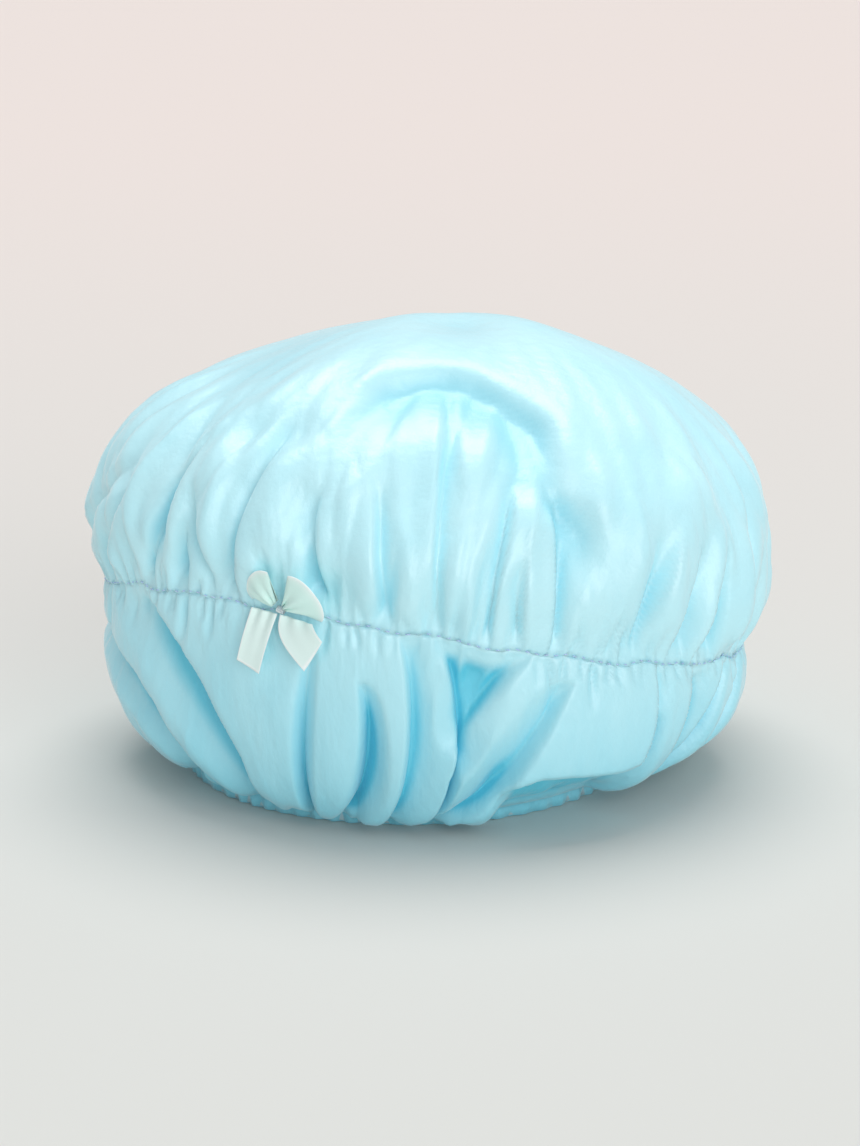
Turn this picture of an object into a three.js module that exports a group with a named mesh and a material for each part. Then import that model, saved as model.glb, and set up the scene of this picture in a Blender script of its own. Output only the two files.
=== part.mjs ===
// A gathered shower cap, puffed out and standing on its hem.
// A satin outer cloth and a waterproof film lining are drawn in twice: by a flat elastic sewn along the
// waist seam, which parts the crown from the frill, and by a narrow elastic in the hem casing.
// A ribbon bow is tacked to the waist seam.
// Millimetres, +Z up, -Y is the front, +X is the right side seen from the front.
// Angles round the cap are measured from the front towards the right.
import * as THREE from "three";

// Waist seam: an oval ring, tilted because the frill under it is taller at the front left.
const WAIST_WIDTH = 226;
const WAIST_DEPTH = 200;
const WAIST_HEIGHT = 55; // middle of the ring above the table
const WAIST_PITCH = 12; // degrees, the front is raised
const WAIST_ROLL = 5.4; // degrees, the right side is lowered
const WAIST_TWIST = 4.5; // the ring dips by this at the front right and rises at the front left

// Crown: a half ellipsoid above its widest level, drawn in below it to the waist seam.
const CROWN_RISE = 84; // from the widest level to the top
const WIDEST_RISE = 23; // from the waist seam to the widest level
const SIDE_SWELL = 6; // of the widest level over the seam, at the left and right
const FRONT_SWELL = 7; // the same at the front and back
const CROWN_LEAN = 9; // of the top to the right

// Hem: an oval ring on the table.
const HEM_WIDTH = 158;
const HEM_DEPTH = 148;
const HEM_SHIFT_LEFT = 6; // of the hem's middle from the waist's
const HEM_ALLOWANCE = 1.2; // cloth above the hem's stitching

// Frill: it leaves the waist seam and comes back to the hem in one curve.
// Each end has a handle, given by how far outside the waist it pulls the cloth and by its share of the drop.
const WAIST_HANDLE = { out: 6, share: 0.4 };
const HEM_HANDLE = { out: 3, share: 0.06 };

// Layers, thick enough for a solid; the real ones are a tenth to a third of a millimetre.
const CLOTH_THICKNESS = 0.5;
const FILM_THICKNESS = 0.4;
const SEWN_GAP = 0.35; // clearance between layers that are sewn together
const THREAD_DIAMETER = 0.5;

// Gathers. The cloth puffs out between its folds; the depth is the most that a fold may draw it in.
const CROWN_PUFF = 3;
const CROWN_FOLD_DEPTH = 3.6;
const CROWN_FOLD_PEAK = 26; // height above the seam where the folds are deepest
const CROWN_FOLD_REACH = 92; // height above the seam where they have died out
const FRILL_PUFF = 4;
const FRILL_FOLD_DEPTH = 5;

// Pleats of the crown at the front: angle at the seam and at the tip in degrees, level of the tip, and the
// depth and width of the valley.
const FRONT_PLEATS = [
  [-88, -64, 0.27, 5, 7],
  [-71, -60, 0.2, 4, 5],
  [-57, -47, 0.37, 6, 8],
  [-37, -46, 0.27, 4, 4],
  [-33, -31, 0.42, 4.5, 6],
  [-16, -21, 0.24, 4.5, 6],
  [-7, -11, 0.27, 6, 6],
  [2, -4.5, 0.6, 6, 4],
  [11, 11.5, 0.37, 4.5, 4.5],
  [22, 19, 0.34, 5, 4.5],
  [33, 27, 0.31, 6, 6],
  [38, 44, 0.32, 5, 7],
  [46, 50, 0.24, 5, 6],
  [60, 57, 0.26, 4.5, 6],
  [73, 66, 0.33, 4.5, 7],
];
const BACK_PLEATS = 15;
const BACK_PLEAT_PITCH = 12.5; // degrees, from the right side round the back to the left

// Hollows between the frill's folds at the front: angle at the seam, half way and at the hem in degrees, and
// the depth and width of the hollow.
const FRONT_HOLLOWS = [
  [-84, -60, -66, 11, 7],
  [-57, -42, -43, 11, 7],
  [-18, -23.5, -29, 6, 4],
  [-10.5, -9.5, -15, 11, 6],
  [-3.5, -4.5, -12, 6, 4],
  [9, 4.5, -1, 11, 6],
  [28, 16, 6, 9, 5],
  [56, 50, 50, 9, 6],
  [67, 62, 60, 8, 6],
  [79, 73, 71, 8, 6],
];
const BACK_HOLLOWS = 11;
const BACK_HOLLOW_PITCH = 16; // degrees

// The tuck at the front, where the top of the crown billows over the pleats in an arch.
const TUCK_TOP = 0.64; // level of the arch's top
const TUCK_AT = -4; // degrees, of the arch's top
const TUCK_FALL = 0.1; // of the arch's level at its ends
const TUCK_LEFT = [-22.5, -10]; // degrees, of its left side at the arch's end and at the seam
const TUCK_RIGHT = [21, 32]; // the same on its right
const TUCK_EDGE = 4; // degrees, over which its sides slope
const TUCK_LIP = 0.06; // level of the sloping face under the arch
const TUCK_DEPTH = 6;

// Elastics: flat bands whose ends overlap and are tacked together at the back.
const WAIST_ELASTIC_WIDTH = 6;
const HEM_ELASTIC_WIDTH = 4.5;
const ELASTIC_THICKNESS = 1;
const ELASTIC_OVERLAP = 14;
const TACK_MARGIN = 3; // from the zigzag tack to the overlap's ends
const TACK_EDGE = 1; // from the zigzag tack to the elastic's edges
const TACK_TURNS = 4;

// Bow, from one width of satin ribbon.
const BOW_AT = -22.8; // degrees
const BOW_TILT = 12; // degrees, the bow leans to the right along the falling seam
const RIBBON_WIDTH = 10;
const RIBBON_THICKNESS = 0.4;
const PINCH_WIDTH = 2.6; // of the ribbon where the tie gathers it
const LOOP_LENGTH = 15;
const LOOP_GAPE = 1.6; // half the opening between a loop's two layers
const LOOP_SPLAY = 42; // degrees from upright, to each side
const LOOP_FLARE = 0.7; // power of the curve by which a loop widens from the pinch
const TAIL_FLARE = 0.45; // share of a tail's length over which it widens from the pinch
const TAIL_BELLY = 0.8; // how far a tail bows out between its ends
const LEFT_TAIL = { length: 21, splay: 13, cut: 3 }; // splay and cut in degrees
const RIGHT_TAIL = { length: 18, splay: 54, cut: 16 };
const TIE_DIAMETER = 2.2;
const TIE_LENGTH = 5;

// Fineness of the meshes.
const CLOTH_STEPS = 68; // round the cap
const INNER_STEPS = 34; // round the layers inside the cloth
const THREAD_SIDES = 4;
const CROWN_LEVELS = [0, 0.05, 0.13, 0.26, 0.42, 0.56, 0.66, 0.79, 0.92]; // waist 0, top 1
const FRILL_LEVELS = [0, 0.15, 0.38, 0.62, 0.85, 1]; // waist 0, hem 1
const RIBBON_STEPS = 14;
const RIBBON_STRIPS = 4;
const TACK_STEPS = 6; // per turn of the zigzag
const LEAN_SAMPLES = 40;

const CROWN_WIDTH = WAIST_WIDTH + 2 * SIDE_SWELL;
const CROWN_DEPTH = WAIST_DEPTH + 2 * FRONT_SWELL;
const radians = THREE.MathUtils.degToRad;
const smooth = THREE.MathUtils.smoothstep;
const WIDEST_LEVEL = 0.13; // level of the crown's widest part
const BACK = 0.5; // turn at the middle of the back

// Joins loops of points, each with the same count, into one closed solid.
// A ring's last loop meets its first; otherwise the two end loops are closed with fans.
// A sheet runs down its outside and back up its inside: the second half splits its quads along the
// other diagonal, so that both faces of the sheet have the same creases.
function loft(loops, isRing = false) {
  const count = loops[0].length;
  const points = loops.flat();
  const faces = [];
  const bands = isRing ? loops.length : loops.length - 1;
  for (let band = 0; band < bands; band++) {
    const low = band * count;
    const high = ((band + 1) % loops.length) * count;
    const isReturning = band >= bands / 2;
    for (let i = 0; i < count; i++) {
      const next = (i + 1) % count;
      if (isReturning) {
        faces.push(low + i, low + next, high + i);
        faces.push(low + next, high + next, high + i);
      } else {
        faces.push(low + i, low + next, high + next);
        faces.push(low + i, high + next, high + i);
      }
    }
  }
  if (!isRing) {
    closeEnd(points, faces, 0, count, true);
    closeEnd(points, faces, (loops.length - 1) * count, count, false);
  }
  return solidFrom(points, faces);
}

// Closes a loop with a fan about its middle.
function closeEnd(points, faces, first, count, reversed) {
  const middle = new THREE.Vector3();
  for (let i = 0; i < count; i++) middle.addScaledVector(points[first + i], 1 / count);
  const hub = points.push(middle) - 1;
  for (let i = 0; i < count; i++) {
    const here = first + i;
    const next = first + ((i + 1) % count);
    faces.push(...(reversed ? [hub, next, here] : [hub, here, next]));
  }
}

// An indexed geometry whose faces point out.
function solidFrom(points, faces) {
  let volume = 0;
  const cross = new THREE.Vector3();
  for (let i = 0; i < faces.length; i += 3) {
    const [a, b, c] = [points[faces[i]], points[faces[i + 1]], points[faces[i + 2]]];
    volume += a.dot(cross.crossVectors(b, c));
  }
  const facingOut = volume > 0 ? faces : faces.slice().reverse();
  return new THREE.BufferGeometry().setFromPoints(points).setIndex(facingOut);
}

// Angle round the cap for a share of the full turn. The gathers are not evenly spaced.
function angleAt(turn) {
  const even = 2 * Math.PI * turn;
  return even + 0.05 * Math.sin(2 * even + 0.6) + 0.02 * Math.sin(5 * even);
}

// Runs a function round the cap and collects its points as a loop.
function around(steps, pointAt) {
  return Array.from({ length: steps }, (_, i) => pointAt(i / steps));
}

// The folds at the back go on from those at the front, unevenly.
const pleats = FRONT_PLEATS.concat(
  Array.from({ length: BACK_PLEATS }, (_, i) => {
    const seam = 84 + BACK_PLEAT_PITCH * i + 3 * Math.sin(2.4 * i);
    const level = 0.31 + 0.1 * Math.sin(3.1 * i);
    return [seam, seam + 7 * Math.sin(1.7 * i + 1), level, 5 + Math.sin(2.1 * i), 6 + 1.8 * Math.sin(1.3 * i)];
  }),
);
const hollows = FRONT_HOLLOWS.concat(
  Array.from({ length: BACK_HOLLOWS }, (_, i) => {
    const seam = 92 + BACK_HOLLOW_PITCH * i + 4 * Math.sin(2.4 * i);
    const middle = seam + 9 * Math.sin(1.9 * i + 0.5);
    const hem = middle + 4 * Math.sin(2.9 * i);
    return [seam, middle, hem, 9.5 + 1.5 * Math.sin(1.1 * i), 5.5 + 1.5 * Math.sin(2.2 * i)];
  }),
);

// Length along a ring from a line in degrees to an angle, the shorter way round.
function across(angle, line, radius) {
  const off = angle - radians(line);
  return Math.atan2(Math.sin(off), Math.cos(off)) * radius;
}

// Depth of the valleys at a place of the crown and of the frill, before they are kept to their limits.
function pleatDip(angle, level) {
  const climb = (Math.max(level - WIDEST_LEVEL, 0) / (1 - WIDEST_LEVEL)) * (Math.PI / 2);
  const radius = (WAIST_WIDTH / 2) * Math.cos(climb);
  return pleats.reduce((dip, [seam, tip, top, depth, width]) => {
    const share = Math.min(level / top, 1);
    const opened = Math.sin(Math.PI * share ** 0.65);
    const off = across(angle, seam + (tip - seam) * share, radius) / (width * (0.35 + 0.75 * opened));
    return dip + depth * Math.max(opened, 0) ** 0.8 * Math.exp(-(off ** 2));
  }, 0);
}

function hollowDip(angle, level) {
  const opened = Math.max(Math.sin(Math.PI * level), 0) ** 0.6;
  return hollows.reduce((dip, [seam, middle, hem, depth, width]) => {
    const line =
      seam * (1 - level) * (1 - 2 * level) + 4 * middle * level * (1 - level) + hem * level * (2 * level - 1);
    const off = across(angle, line, WAIST_WIDTH / 2) / (width * (0.45 + 0.6 * opened));
    return dip + depth * opened * Math.exp(-(off ** 2));
  }, 0);
}

// A point on an oval at an angle, drawn in by an inset.
function onOval(angle, width, depth, inset, z) {
  return new THREE.Vector3(
    (width / 2 - inset) * Math.sin(angle),
    -(depth / 2 - inset) * Math.cos(angle),
    z,
  );
}

// Frame of the waist seam: the crown, the waist seam and the bow stand in it.
const waist = new THREE.Group();
waist.position.z = WAIST_HEIGHT;
waist.rotation.set(radians(-WAIST_PITCH), radians(WAIST_ROLL), 0);
waist.updateMatrix();

// Rise of the waist seam over its ring's plane.
function seamRise(angle) {
  return -WAIST_TWIST * Math.sin(2 * angle);
}

// A point on the waist seam's oval, in the waist's frame.
function waistPoint(turn, inset, z) {
  const angle = angleAt(turn);
  return onOval(angle, WAIST_WIDTH, WAIST_DEPTH, inset, z + seamRise(angle));
}

// Crown surface, in the waist's frame, at a level from 0 on the seam to 1 at the top.
function crownPoint(turn, level, inset) {
  const angle = angleAt(turn);
  const rise = seamRise(angle) * (1 - level) ** 2;
  if (level < WIDEST_LEVEL) {
    const share = level / WIDEST_LEVEL;
    const swell = Math.sin((share * Math.PI) / 2);
    const width = THREE.MathUtils.lerp(WAIST_WIDTH, CROWN_WIDTH, swell);
    const depth = THREE.MathUtils.lerp(WAIST_DEPTH, CROWN_DEPTH, swell);
    return onOval(angle, width, depth, inset, rise + WIDEST_RISE * share);
  }
  const climb = ((level - WIDEST_LEVEL) / (1 - WIDEST_LEVEL)) * (Math.PI / 2);
  const height = rise + WIDEST_RISE + (CROWN_RISE - inset) * Math.sin(climb);
  const point = onOval(angle, CROWN_WIDTH, CROWN_DEPTH, inset, 0).multiplyScalar(Math.cos(climb));
  return point.set(point.x + CROWN_LEAN * Math.sin(climb), point.y, height);
}

// Height of a crown level above the seam.
function crownHeight(level) {
  return crownPoint(0, level, 0).z - waistPoint(0, 0, 0).z;
}

// How deep the gathers are at a crown level: none on the seam itself and none on top.
function crownFoldDepth(level) {
  const height = crownHeight(level);
  const grown = smooth(height, 0, CROWN_FOLD_PEAK);
  return CROWN_FOLD_DEPTH * grown * (1 - smooth(height, CROWN_FOLD_PEAK, CROWN_FOLD_REACH));
}

// How far the tuck may draw the crown in at a level.
function tuckDepth(level) {
  return TUCK_DEPTH * smooth(crownHeight(level), 0, CROWN_FOLD_PEAK);
}

// How far the tuck draws the crown in under its arch.
function tuckInset(turn, level) {
  const degrees = across(angleAt(turn), 0, THREE.MathUtils.radToDeg(1));
  const end = degrees < TUCK_AT ? TUCK_LEFT[0] : TUCK_RIGHT[0];
  const arch = TUCK_TOP - TUCK_FALL * ((degrees - TUCK_AT) / (end - TUCK_AT)) ** 2;
  const up = Math.min(level / (TUCK_TOP - TUCK_FALL), 1);
  const left = THREE.MathUtils.lerp(TUCK_LEFT[1], TUCK_LEFT[0], up);
  const right = THREE.MathUtils.lerp(TUCK_RIGHT[1], TUCK_RIGHT[0], up);
  const between = smooth(degrees, left - TUCK_EDGE, left + TUCK_EDGE) * (1 - smooth(degrees, right - TUCK_EDGE, right + TUCK_EDGE));
  return tuckDepth(level) * between * (1 - smooth(level, arch - TUCK_LIP, arch));
}

// How far the crown's cloth stands out of its mean surface: puffed between the pleats, drawn in along them and
// under the tuck, and kept between the bow and the lining.
function crownStand(turn, level) {
  const deepest = crownFoldDepth(level);
  const puff = (CROWN_PUFF / CROWN_FOLD_DEPTH) * deepest;
  const stand = puff - pleatDip(angleAt(turn), level) - tuckInset(turn, level);
  return THREE.MathUtils.clamp(stand, -deepest - tuckDepth(level), deepest);
}

// Frill surface, in the cap's frame, at a level from 0 on the waist seam to 1 at the top of the hem casing.
function frillPoint(turn, level, inset) {
  const angle = angleAt(turn);
  const top = waistPoint(turn, 0, -SEWN_GAP).applyMatrix4(waist.matrix);
  const foot = hemPoint(turn, 0, CASING_HEIGHT);
  const out = new THREE.Vector3(Math.sin(angle), -Math.cos(angle), 0);
  const drop = top.z - foot.z;
  const curve = new THREE.CubicBezierCurve3(
    top,
    top.clone().addScaledVector(out, WAIST_HANDLE.out).setZ(top.z - WAIST_HANDLE.share * drop),
    top.clone().addScaledVector(out, HEM_HANDLE.out).setZ(foot.z + HEM_HANDLE.share * drop),
    foot,
  );
  return curve.getPoint(level).addScaledVector(out, -inset);
}

// How deep the frill's gathers are: none along either elastic.
function frillFoldDepth(level) {
  return FRILL_FOLD_DEPTH * Math.sin(Math.PI * level) ** 0.8;
}

// How far the frill's cloth stands out of its mean surface, in the same way.
function frillStand(turn, level) {
  const deepest = frillFoldDepth(level);
  const stand = (FRILL_PUFF / FRILL_FOLD_DEPTH) * deepest - hollowDip(angleAt(turn), level);
  return THREE.MathUtils.clamp(stand, -deepest, deepest);
}

// A point on the hem's oval, in the cap's frame.
function hemPoint(turn, inset, z) {
  const point = onOval(angleAt(turn), HEM_WIDTH, HEM_DEPTH, inset, z);
  return point.setX(point.x - HEM_SHIFT_LEFT);
}

// Insets of the layers sewn together along both elastics, from the outside of the cloth inwards.
const FILM_INSET = CLOTH_THICKNESS + SEWN_GAP;
const ELASTIC_INSET = FILM_INSET + FILM_THICKNESS + SEWN_GAP;
const STITCH_INSET = ELASTIC_INSET + 2 * (ELASTIC_THICKNESS + SEWN_GAP); // the elastic's ends lie double
const STITCH_PITCH = THREAD_DIAMETER + SEWN_GAP; // from a layer of stitching to the next layer
const FLANGE_INSET = STITCH_INSET + STITCH_PITCH;

// Heights in the hem casing: the elastic lies on the fold, under the row of stitching.
const HEM_ELASTIC_MIDDLE = CLOTH_THICKNESS + SEWN_GAP + HEM_ELASTIC_WIDTH / 2;
const HEM_STITCH_HEIGHT = HEM_ELASTIC_MIDDLE + HEM_ELASTIC_WIDTH / 2 + STITCH_PITCH / 2;
const CASING_HEIGHT = HEM_STITCH_HEIGHT + HEM_ALLOWANCE;

// Outer cloth above the waist seam.
function crownCloth() {
  const loopAt = (level, depth) =>
    around(CLOTH_STEPS, (turn) => crownPoint(turn, level, depth - crownStand(turn, level)));
  const outer = CROWN_LEVELS.map((level) => loopAt(level, 0));
  const inner = CROWN_LEVELS.map((level) => loopAt(level, CLOTH_THICKNESS));
  return loft([...outer.reverse(), ...inner]);
}

// Outer cloth below the waist seam. It is turned in at the hem into a casing that is open at its top.
function frillCloth() {
  const loopAt = (level, depth) =>
    around(CLOTH_STEPS, (turn) => frillPoint(turn, level, depth - frillStand(turn, level)));
  const hemLoop = (inset, z) => around(CLOTH_STEPS, (turn) => hemPoint(turn, inset, z));
  const outer = FRILL_LEVELS.map((level) => loopAt(level, 0));
  const inner = FRILL_LEVELS.map((level) => loopAt(level, CLOTH_THICKNESS));
  const casing = [
    hemLoop(0, 0),
    hemLoop(FLANGE_INSET + CLOTH_THICKNESS, 0),
    hemLoop(FLANGE_INSET + CLOTH_THICKNESS, CASING_HEIGHT),
    hemLoop(FLANGE_INSET, CASING_HEIGHT),
    hemLoop(FLANGE_INSET, CLOTH_THICKNESS),
    hemLoop(CLOTH_THICKNESS, CLOTH_THICKNESS),
  ];
  return loft([...outer, ...casing, ...inner.reverse()], true);
}

// Waterproof film inside the cloth, from the top down into the hem casing. It hangs clear of the gathers
// and of the tuck, and is caught in both seams.
function liningFilm() {
  const crownLoop = (level, depth) => {
    const slack = crownFoldDepth(level) + tuckDepth(level);
    return around(INNER_STEPS, (turn) =>
      crownPoint(turn, level, FILM_INSET + depth + slack).applyMatrix4(waist.matrix),
    );
  };
  const frillLoop = (level, depth) => {
    const inset = FILM_INSET + depth + frillFoldDepth(level);
    return around(INNER_STEPS, (turn) => frillPoint(turn, level, inset));
  };
  const edgeHeight = CLOTH_THICKNESS + SEWN_GAP;
  const side = (depth) => [
    ...CROWN_LEVELS.map((level) => crownLoop(level, depth)).reverse(),
    ...FRILL_LEVELS.slice(1).map((level) => frillLoop(level, depth)),
    around(INNER_STEPS, (turn) => hemPoint(turn, FILM_INSET + depth, edgeHeight)),
  ];
  return loft([...side(0), ...side(FILM_THICKNESS).reverse()]);
}

// A flat elastic laid round the inside of a ring. It winds inwards by its own thickness over one turn,
// so that its tail lies on its head where the ends overlap.
function elasticBand(ringPoint, perimeter, width, middle) {
  const turns = 1 + ELASTIC_OVERLAP / perimeter;
  const steps = Math.ceil(turns * INNER_STEPS);
  const sections = [];
  for (let i = 0; i <= steps; i++) {
    const wound = Math.min(i / INNER_STEPS, turns);
    const inset = ELASTIC_INSET + wound * (ELASTIC_THICKNESS + SEWN_GAP);
    const corner = (depth, rise) => ringPoint(BACK + wound, inset + depth, middle + rise);
    sections.push([
      corner(0, width / 2),
      corner(0, -width / 2),
      corner(ELASTIC_THICKNESS, -width / 2),
      corner(ELASTIC_THICKNESS, width / 2),
    ]);
  }
  return loft(sections);
}

// Length round an oval.
function ovalPerimeter(width, depth) {
  return Math.PI * Math.sqrt((width ** 2 + depth ** 2) / 2);
}

// One thread lying along a whole seam, as a ring of small loops round its line.
function seamThread(ringPoint, inset, z, steps) {
  const radius = THREAD_DIAMETER / 2;
  const sides = Array.from({ length: THREAD_SIDES }, (_, i) => (2 * Math.PI * (i + 0.5)) / THREAD_SIDES);
  const sectionAt = (turn) =>
    sides.map((side) => ringPoint(turn, inset + radius * Math.cos(side), z + radius * Math.sin(side)));
  return loft(around(steps, sectionAt), true);
}

// Zigzag tack through the overlapped ends of an elastic, on its inner face.
function joinTack(ringPoint, perimeter, width, middle, inset) {
  const start = BACK + TACK_MARGIN / perimeter;
  const spread = (ELASTIC_OVERLAP - 2 * TACK_MARGIN) / perimeter;
  const swing = width / 2 - TACK_EDGE;
  const points = Array.from({ length: TACK_TURNS + 1 }, (_, i) =>
    ringPoint(start + (i / TACK_TURNS) * spread, inset, middle + (i % 2 ? swing : -swing)),
  );
  const section = new THREE.Shape().absarc(0, 0, THREAD_DIAMETER / 2, 0, 2 * Math.PI);
  return new THREE.ExtrudeGeometry(section, {
    steps: TACK_TURNS * TACK_STEPS,
    curveSegments: THREAD_SIDES,
    bevelEnabled: false,
    extrudePath: new THREE.CatmullRomCurve3(points),
  });
}

// A ribbon along a path, from its pinched end at the tie to its full width.
// lineAt gives the middle of the ribbon, and across the direction of its width.
function ribbon(lineAt, widthAt, across, cutSlope) {
  const sections = [];
  for (let i = 0; i <= RIBBON_STEPS; i++) {
    const share = i / RIBBON_STEPS;
    const middle = lineAt(share);
    const along = lineAt(share + 0.001).sub(lineAt(share - 0.001)).normalize();
    const normal = new THREE.Vector3().crossVectors(across, along).normalize();
    const edge = (strip, face) => {
      const off = (strip / RIBBON_STRIPS - 0.5) * widthAt(share);
      return middle
        .clone()
        .addScaledVector(across, off)
        .addScaledVector(along, off * cutSlope * share ** 3)
        .addScaledVector(normal, (face * RIBBON_THICKNESS) / 2);
    };
    const strips = Array.from({ length: RIBBON_STRIPS + 1 }, (_, strip) => strip);
    sections.push([
      ...strips.map((strip) => edge(strip, 1)),
      ...strips.reverse().map((strip) => edge(strip, -1)),
    ]);
  }
  return loft(sections);
}

// The bow stands on the waist seam, with its tie on the needle thread.
// In its frame +X runs along the tie, -Y points out of the cap and +Z runs up the crown.
const THREAD_OFFSET = SEWN_GAP + THREAD_DIAMETER / 2; // of a thread's middle from the layer that it lies on
const BOW_STANDOFF = THREAD_OFFSET + STITCH_PITCH / 2 + SEWN_GAP / 2 + TIE_DIAMETER / 2;
const BOW_TURN = BOW_AT / 360;
const bow = new THREE.Group();
bow.position.copy(waistPoint(BOW_TURN, -BOW_STANDOFF, 0));
bow.rotation.set(0, radians(BOW_TILT), angleAt(BOW_TURN), "ZYX");
bow.updateMatrix();

const PINCH_START = TIE_DIAMETER / 2 + SEWN_GAP; // from the tie's middle to the ribbon's pinched end
const LOOP_ROOT = TIE_LENGTH / 4; // from the bow's middle, to each side
const TAIL_ROOT = TIE_LENGTH / 2;

// Least lean from the seam's upright that carries a ribbon of a length over the swell of the cloth.
// surfaceAt gives the cloth's ridges, in the waist's frame, from the seam at 0 outwards.
function leanOver(surfaceAt, length, clearance) {
  const toBow = bow.matrix.clone().invert();
  let lean = 0;
  for (let i = 1; i <= LEAN_SAMPLES; i++) {
    const ridge = surfaceAt(i / LEAN_SAMPLES).applyMatrix4(toBow);
    const height = Math.abs(ridge.z);
    if (height > PINCH_START && height < length) {
      lean = Math.max(lean, Math.atan2(clearance - ridge.y, height));
    }
  }
  return lean;
}

// Direction of a ribbon from the tie. rise is 1 up the crown, -1 down the frill; side is -1 left, 1 right.
function ribbonAxis(rise, side, splay, lean) {
  const upright = Math.cos(splay);
  return new THREE.Vector3(
    side * Math.sin(splay),
    -upright * Math.sin(lean),
    rise * upright * Math.cos(lean),
  );
}

// A loop leaves the tie, turns over at its tip and comes back behind itself.
function bowLoop(side) {
  const ridges = (level) => crownPoint(BOW_TURN, level, -crownFoldDepth(level));
  const lean = leanOver(ridges, LOOP_LENGTH, LOOP_GAPE + 2 * RIBBON_THICKNESS + 2 * SEWN_GAP);
  const axis = ribbonAxis(1, side, radians(LOOP_SPLAY), lean);
  const out = new THREE.Vector3(0, -Math.cos(lean), -Math.sin(lean));
  const across = new THREE.Vector3().crossVectors(out, axis).normalize();
  const root = new THREE.Vector3(side * LOOP_ROOT, 0, 0);
  const lineAt = (share) => {
    const along = PINCH_START + (LOOP_LENGTH - PINCH_START) * Math.sin(Math.PI * share);
    const lift = RIBBON_THICKNESS * Math.cos(Math.PI * share) + LOOP_GAPE * Math.sin(2 * Math.PI * share);
    return root.clone().addScaledVector(axis, along).addScaledVector(out, lift);
  };
  const widthAt = (share) =>
    THREE.MathUtils.lerp(PINCH_WIDTH, RIBBON_WIDTH, Math.sin(Math.PI * share) ** LOOP_FLARE);
  return ribbon(lineAt, widthAt, across, 0);
}

// A tail hangs from the tie in front of the frill and ends in a slanting cut.
function bowTail(side, { length, splay, cut }) {
  const toWaist = waist.matrix.clone().invert();
  const ridges = (level) =>
    frillPoint(BOW_TURN, level, -frillFoldDepth(level)).applyMatrix4(toWaist);
  const lean = leanOver(ridges, length, RIBBON_THICKNESS + SEWN_GAP);
  const axis = ribbonAxis(-1, side, radians(splay), lean);
  const out = new THREE.Vector3(0, -Math.cos(lean), Math.sin(lean));
  const across = new THREE.Vector3().crossVectors(out, axis).normalize();
  const root = new THREE.Vector3(side * TAIL_ROOT, 0, 0);
  const lineAt = (share) =>
    root
      .clone()
      .addScaledVector(axis, THREE.MathUtils.lerp(PINCH_START, length, share))
      .addScaledVector(out, TAIL_BELLY * Math.sin(Math.PI * share));
  const widthAt = (share) => THREE.MathUtils.lerp(PINCH_WIDTH, RIBBON_WIDTH, smooth(share, 0, TAIL_FLARE));
  return ribbon(lineAt, widthAt, across, side * Math.tan(radians(cut)));
}

// Thread wound round the pinched ribbon, lying along the seam.
function bowTie() {
  return new THREE.CapsuleGeometry(TIE_DIAMETER / 2, TIE_LENGTH - TIE_DIAMETER, 4, 10).rotateZ(Math.PI / 2);
}

const SATIN = { color: 0x9fe0ee, roughness: 0.42, metalness: 0 };
const FILM = { color: 0xd8f0f4, roughness: 0.3, metalness: 0 };
const ELASTIC = { color: 0xf4f6f5, roughness: 0.8, metalness: 0 };
const THREAD = { color: 0x86b8dd, roughness: 0.6, metalness: 0 };
const RIBBON = { color: 0xc9f0ea, roughness: 0.3, metalness: 0 };

function piece(name, geometry, look) {
  const mesh = new THREE.Mesh(geometry, new THREE.MeshStandardMaterial(look));
  mesh.name = name;
  return mesh;
}

const WAIST_PERIMETER = ovalPerimeter(WAIST_WIDTH, WAIST_DEPTH);
const HEM_PERIMETER = ovalPerimeter(HEM_WIDTH, HEM_DEPTH);
const WAIST_BOBBIN_INSET = STITCH_INSET + THREAD_DIAMETER / 2;
const WAIST_TACK_INSET = WAIST_BOBBIN_INSET + STITCH_PITCH;
const HEM_TACK_INSET = STITCH_INSET + THREAD_DIAMETER / 2;
const HEM_BOBBIN_INSET = FLANGE_INSET + CLOTH_THICKNESS + THREAD_OFFSET;

const waistBand = [waistPoint, WAIST_PERIMETER, WAIST_ELASTIC_WIDTH, 0];
waist.add(
  piece("crown_cloth", crownCloth(), SATIN),
  piece("waist_elastic", elasticBand(...waistBand), ELASTIC),
  piece("waist_elastic_tack", joinTack(...waistBand, WAIST_TACK_INSET), THREAD),
  piece("waist_needle_thread", seamThread(waistPoint, -THREAD_OFFSET, 0, CLOTH_STEPS), THREAD),
  piece("waist_bobbin_thread", seamThread(waistPoint, WAIST_BOBBIN_INSET, 0, INNER_STEPS), THREAD),
  bow,
);

bow.add(
  piece("bow_loop_left", bowLoop(-1), RIBBON),
  piece("bow_loop_right", bowLoop(1), RIBBON),
  piece("bow_tail_left", bowTail(-1, LEFT_TAIL), RIBBON),
  piece("bow_tail_right", bowTail(1, RIGHT_TAIL), RIBBON),
  piece("bow_tie_thread", bowTie(), THREAD),
);

const hemBand = [hemPoint, HEM_PERIMETER, HEM_ELASTIC_WIDTH, HEM_ELASTIC_MIDDLE];
const cap = new THREE.Group();
cap.add(
  waist,
  piece("frill_cloth", frillCloth(), SATIN),
  piece("lining_film", liningFilm(), FILM),
  piece("hem_elastic", elasticBand(...hemBand), ELASTIC),
  piece("hem_elastic_tack", joinTack(...hemBand, HEM_TACK_INSET), THREAD),
  piece("hem_needle_thread", seamThread(hemPoint, -THREAD_OFFSET, HEM_STITCH_HEIGHT, CLOTH_STEPS), THREAD),
  piece("hem_bobbin_thread", seamThread(hemPoint, HEM_BOBBIN_INSET, HEM_STITCH_HEIGHT, CLOTH_STEPS), THREAD),
);

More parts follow.
